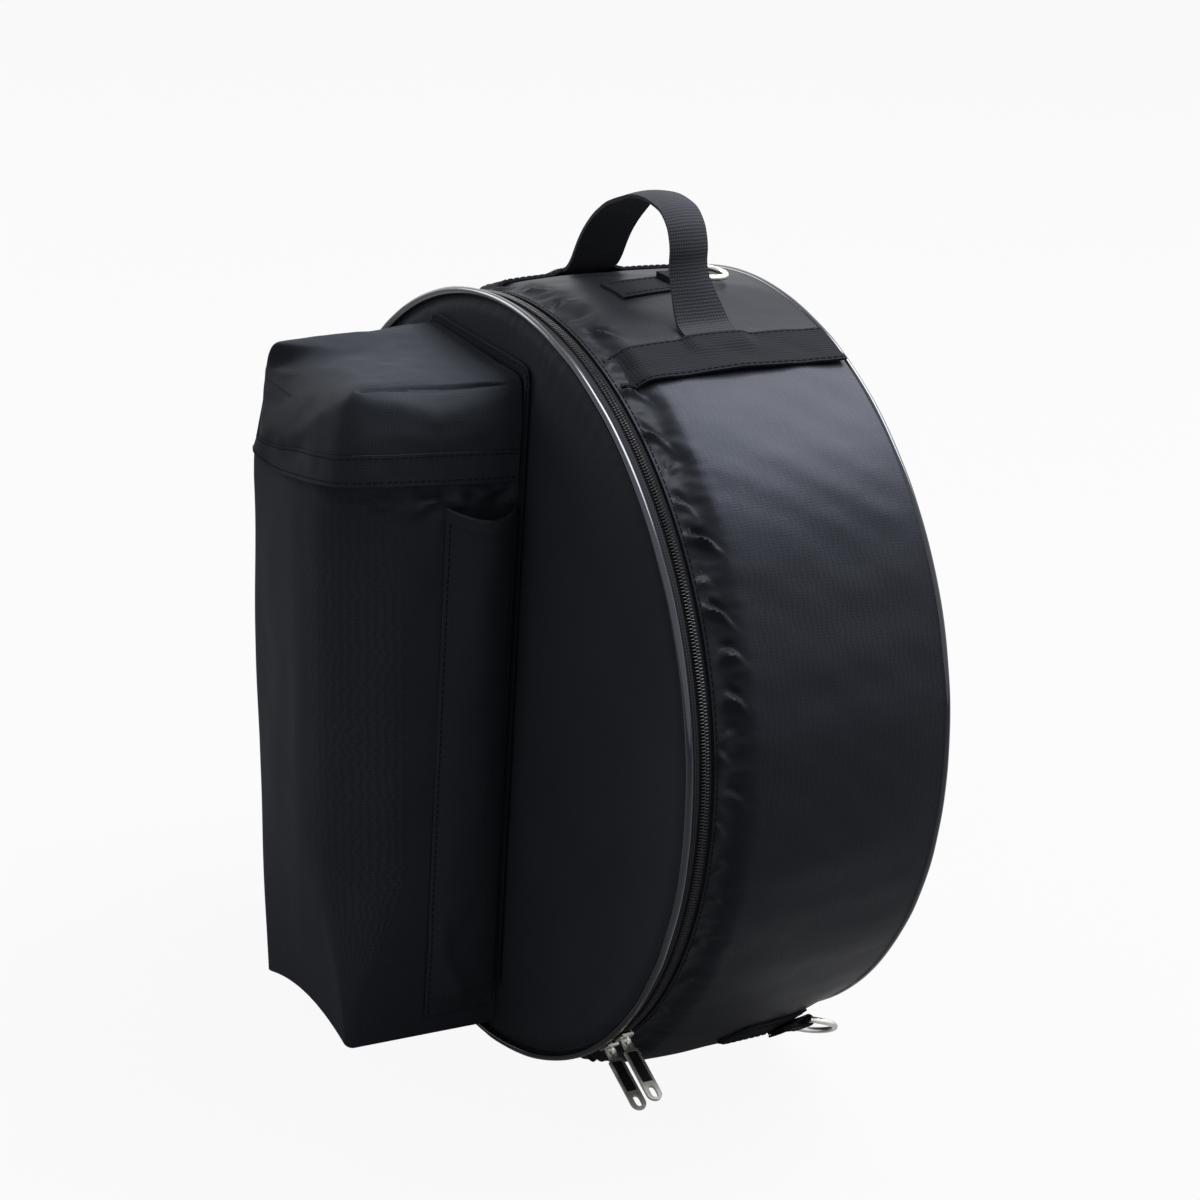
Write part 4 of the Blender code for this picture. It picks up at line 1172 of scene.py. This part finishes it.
bands = {
    "width": 0.026, "thick": 0.0013, "front": -0.0535, "back": 0.0692, "spread": 21.9, "lift": 0.0004,
    "overFoot": 0.0020, "curl": 0.0016, "tuck": 0.0026,  # over the handle's foot, at its edge, and at the seam
}


def bandLevel(angle, y, inward):
    level = max(shellLevel(angle + turn, y + step) for turn in (-0.7, 0, 0.7) for step in (-0.002, 0, 0.002))
    foot = smoothStep(-0.014, -0.006, y) * smoothStep(0.029, 0.021, y)
    near = smoothStep(-0.2, 0.5, inward)
    return level + bands["lift"] + foot * near * bands["overFoot"]


def addBand(name, angle, node):
    half = math.degrees(bands["width"] / 2 / bagRadius)
    inside = 1 if angle < 90 else -1

    def place(u, v):
        y = mix(bands["back"], bands["front"], v)
        across = 2 * u - 1
        turn = angle + half * across
        tucked = smoothStep(0.9, 0.98, v)
        curled = bands["curl"] * smoothStep(0.3, 1.0, -across) * (0.6 + ripple((y, 0, 0), 0.018, 61))
        level = bandLevel(turn, y, across * inside) + (curled if inside > 0 else 0) - bands["tuck"] * tucked
        return rimPoint(turn, level + bands["thick"], y)

    length = bands["back"] - bands["front"]
    strip = addSheet(name, 18, 110, (bands["width"], length), place)
    for column in (1, 17):
        addStitches(f"{name}Stitches{column}", sheetLine(strip, 18, column=column), "shell")
    sew(strip, bands["thick"], flatWebbingPaintedShade, "black_webbing", "shell", node)


addBand("bandRight", 90 - bands["spread"], "band_right")
addBand("bandLeft", 90 + bands["spread"], "band_left")

# The handle's middle line in millimetres from its right foot to its left one: across, and above the bag's
# middle
handleLine = [
    (67, 184), (61, 186.8), (55.5, 188.6), (51.8, 190.6), (49.4, 194.4), (47.2, 199.6), (44.9, 206.5),
    (42.8, 213), (41.7, 219), (41.5, 224.6), (40.1, 230), (37, 236), (31, 241.4), (25, 243.6),
    (13, 244.8), (1, 243.2), (-8.6, 239.4), (-15.4, 236.2), (-21.6, 232.8), (-27.8, 228.2),
    (-33.2, 223.8), (-38.8, 218), (-43.6, 212), (-47, 206.6), (-50, 201), (-52.4, 196.4), (-56, 191.4),
    (-60.4, 188), (-67, 184.6),
]
handle = {
    "front": handleLow.y, "width": handleHigh.y - handleLow.y, "grip": 0.0205, "thick": 0.0018, "cup": 0.0012,
    "points": 400, "sway": 0.0005,
    "area": 0.87,  # the webbing's area as a share of its full width, because it narrows at the grip
}
handleKnots = [Vector(p) / 1000 for p in handleLine]
handleSpots = [
    alongPoints(handleKnots, i * (len(handleKnots) - 1) / handle["points"])
    for i in range(handle["points"] + 1)
]
handleReach = [0]
for a, b in zip(handleSpots, handleSpots[1:]):
    handleReach.append(handleReach[-1] + (b - a).length)


# A point of the handle's line by its share of the whole length
def handleSpot(share):
    at = clamp(share) * handleReach[-1]
    i = min(len(handleReach) - 2, bisect.bisect_right(handleReach, at) - 1)
    past = (at - handleReach[i]) / (handleReach[i + 1] - handleReach[i])
    return handleSpots[i].lerp(handleSpots[i + 1], past)


def placeHandle(u, v):
    spot = handleSpot(v)
    along = (handleSpot(v + 0.01) - handleSpot(v - 0.01)).normalized()
    out = Vector((along.y, -along.x))
    gripped = smoothStep(0.06, 0.24, v) * smoothStep(0.74, 0.52, v)
    wide = mix(handle["width"], handle["grip"], gripped)
    across = 2 * u - 1
    spot = spot - out * handle["cup"] * gripped * across * across
    sway = handle["sway"] * ripple((v * 0.2, 0, 0), 0.05, 71)
    return Vector((spot.x, handle["front"] + wide * u + sway, hub.z + spot.y))


def makeHandle():
    flat = (handle["width"], handleReach[-1])
    strip = addSheet("topHandle", 14, 150, flat, placeHandle)
    sew(strip, handle["thick"], handleWebbingPaintedFill, "black_webbing", "shell", "handle", offset=0)


makeHandle()


# Rings on their patches

patch = {"length": 0.046, "thick": 0.0011}
patchShapes = {  # width, length of the pointed end, and how far that end lies askew
    "top": (0.023, 0.002, 0.0075), "right": (0.03, 0.011, 0), "left": (0.03, 0.011, 0),
}
ring = {
    "wire": 0.0016, "inner": 0.019, "depth": 0.018, "tab": 0.017, "tabThick": 0.0012, "tongue": 0.012,
    "apart": 0.0003,
}
ringSpots = {
    # name: angle on the rim, the bar's place along the depth, how far it stands off, how it leans in, its body
    "top": (90.0, 0.031, 0.0058, 5.0, "top_ring"),
    "right": (-54.0, 0.052, 0.0085, -20.0, "right_ring"),
    "left": (234.0, 0.052, 0.0085, -20.0, "left_ring"),
}


def addPatch(name, angle, barY):
    backEdge = barY - ring["wire"] - ring["apart"] - ring["tabThick"] - ring["apart"]
    spotFrame = rimFrame(angle, 0, 0)
    width, point, askew = patchShapes[name]

    def place(u, v):
        along = mix(backEdge, backEdge - patch["length"], v)
        narrow = min(1, (along - (backEdge - patch["length"])) / point)
        narrow = max(0.02, narrow) if point > 0.005 else 1
        across = (2 * u - 1) * width / 2 * narrow + askew * v
        turn = angle - math.degrees(across / bagRadius)
        level = shellLevel(turn, along) + patch["thick"] + ring["apart"] - across * across / 2 / bagRadius
        return spotFrame @ Vector((across, along, level))

    piece = addSheet("patch" + name.title(), 16, 40, (width, patch["length"]), place)
    facing(piece, hub)
    for column in (2, 14):
        addStitches(f"patchStitches{name.title()}{column}", sheetLine(piece, 16, column=column), "shell")
    sew(piece, patch["thick"], flatWebbingPaintedShade, "black_webbing", "shell", "patch_" + name)


# Webbing that lies on the patch, goes round the ring's bar and comes back over itself
def addTab(name, angle, barY, barRise):
    half = ring["tabThick"] / 2
    loop = ring["wire"] + ring["apart"] + half
    startY = barY - loop - half - ring["apart"] - ring["tongue"]
    bendY = startY + ring["tongue"] * 0.55
    low = []
    for y in (startY, mix(startY, bendY, 0.5), bendY):
        cloth = max(shellLevel(angle + turn, y) for turn in (-2, 0, 2)) - bagRadius
        low.append(Vector((y, cloth + patch["thick"] + 0.0004 + half)))
    high = [spot + Vector((0, ring["tabThick"] + 0.0002)) for spot in reversed(low)]
    line = list(low)
    for turn in range(-100, 121, 20):
        t = math.radians(turn)
        line.append(Vector((barY, barRise)) + loop * Vector((math.cos(t), math.sin(t))))
    line += high
    spotFrame = rimFrame(angle, bagRadius, 0)

    def place(u, v):
        spot = alongPoints(line, v * (len(line) - 1))
        across = (2 * u - 1) * ring["tab"] / 2
        return spotFrame @ Vector((across, spot.x, spot.y - across * across / 2 / bagRadius))

    length = sum((b - a).length for a, b in zip(line, line[1:]))
    piece = addSheet("tab" + name.title(), 10, 110, (ring["tab"], length), place)
    sew(piece, ring["tabThick"], flatWebbingPaintedShade, "black_webbing", "shell", "ring_tab_" + name, offset=0)


# A circle flattened along one side into a D, then given its round wire
def addRing(name, angle, barY, barRise, lean, body):
    reach = ring["inner"] / 2 + ring["wire"]
    straight = ring["depth"] - reach
    deselect()
    bpy.ops.mesh.primitive_circle_add(vertices=72, radius=reach)
    loop = named(bpy.context.object, "dRing" + name.title())
    for vertex in loop.data.vertices:
        if vertex.co.y < 0:
            squeeze = max(-1, vertex.co.y / reach * 1.25)
            vertex.co.y = squeeze * straight
            if squeeze > -1:
                vertex.co.x = math.copysign(reach, vertex.co.x)
        vertex.co.y += straight
    bpy.ops.object.convert(target="CURVE")
    loop.data.bevel_depth = ring["wire"]
    loop.data.bevel_resolution = 5
    bpy.ops.object.convert(target="MESH")
    tilt = Matrix.Rotation(math.radians(-lean), 4, "X")
    loop.matrix_world = rimFrame(angle, bagRadius + barRise, barY) @ tilt
    dress(finish(loop), nickel, body)
    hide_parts("d_ring_" + name)


for ringName, (ringAngle, barY, barRise, ringLean, ringBody) in ringSpots.items():
    addPatch(ringName, ringAngle, barY)
    addTab(ringName, ringAngle, barY, barRise)
    addRing(ringName, ringAngle, barY, barRise, ringLean, ringBody)
report("webbing and rings are in")


# CAD nodes that keep their own shape
hardware = {
    "zip_stop": nickel, "slider": nickel, "slider_bail": nickel, "pull": nickel, "pull_insert": enamel,
}
for kind, material in hardware.items():
    for end in ("upper", "lower"):
        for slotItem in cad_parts[f"{kind}_{end}"].material_slots:
            slotItem.material = material

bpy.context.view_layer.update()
report("done")
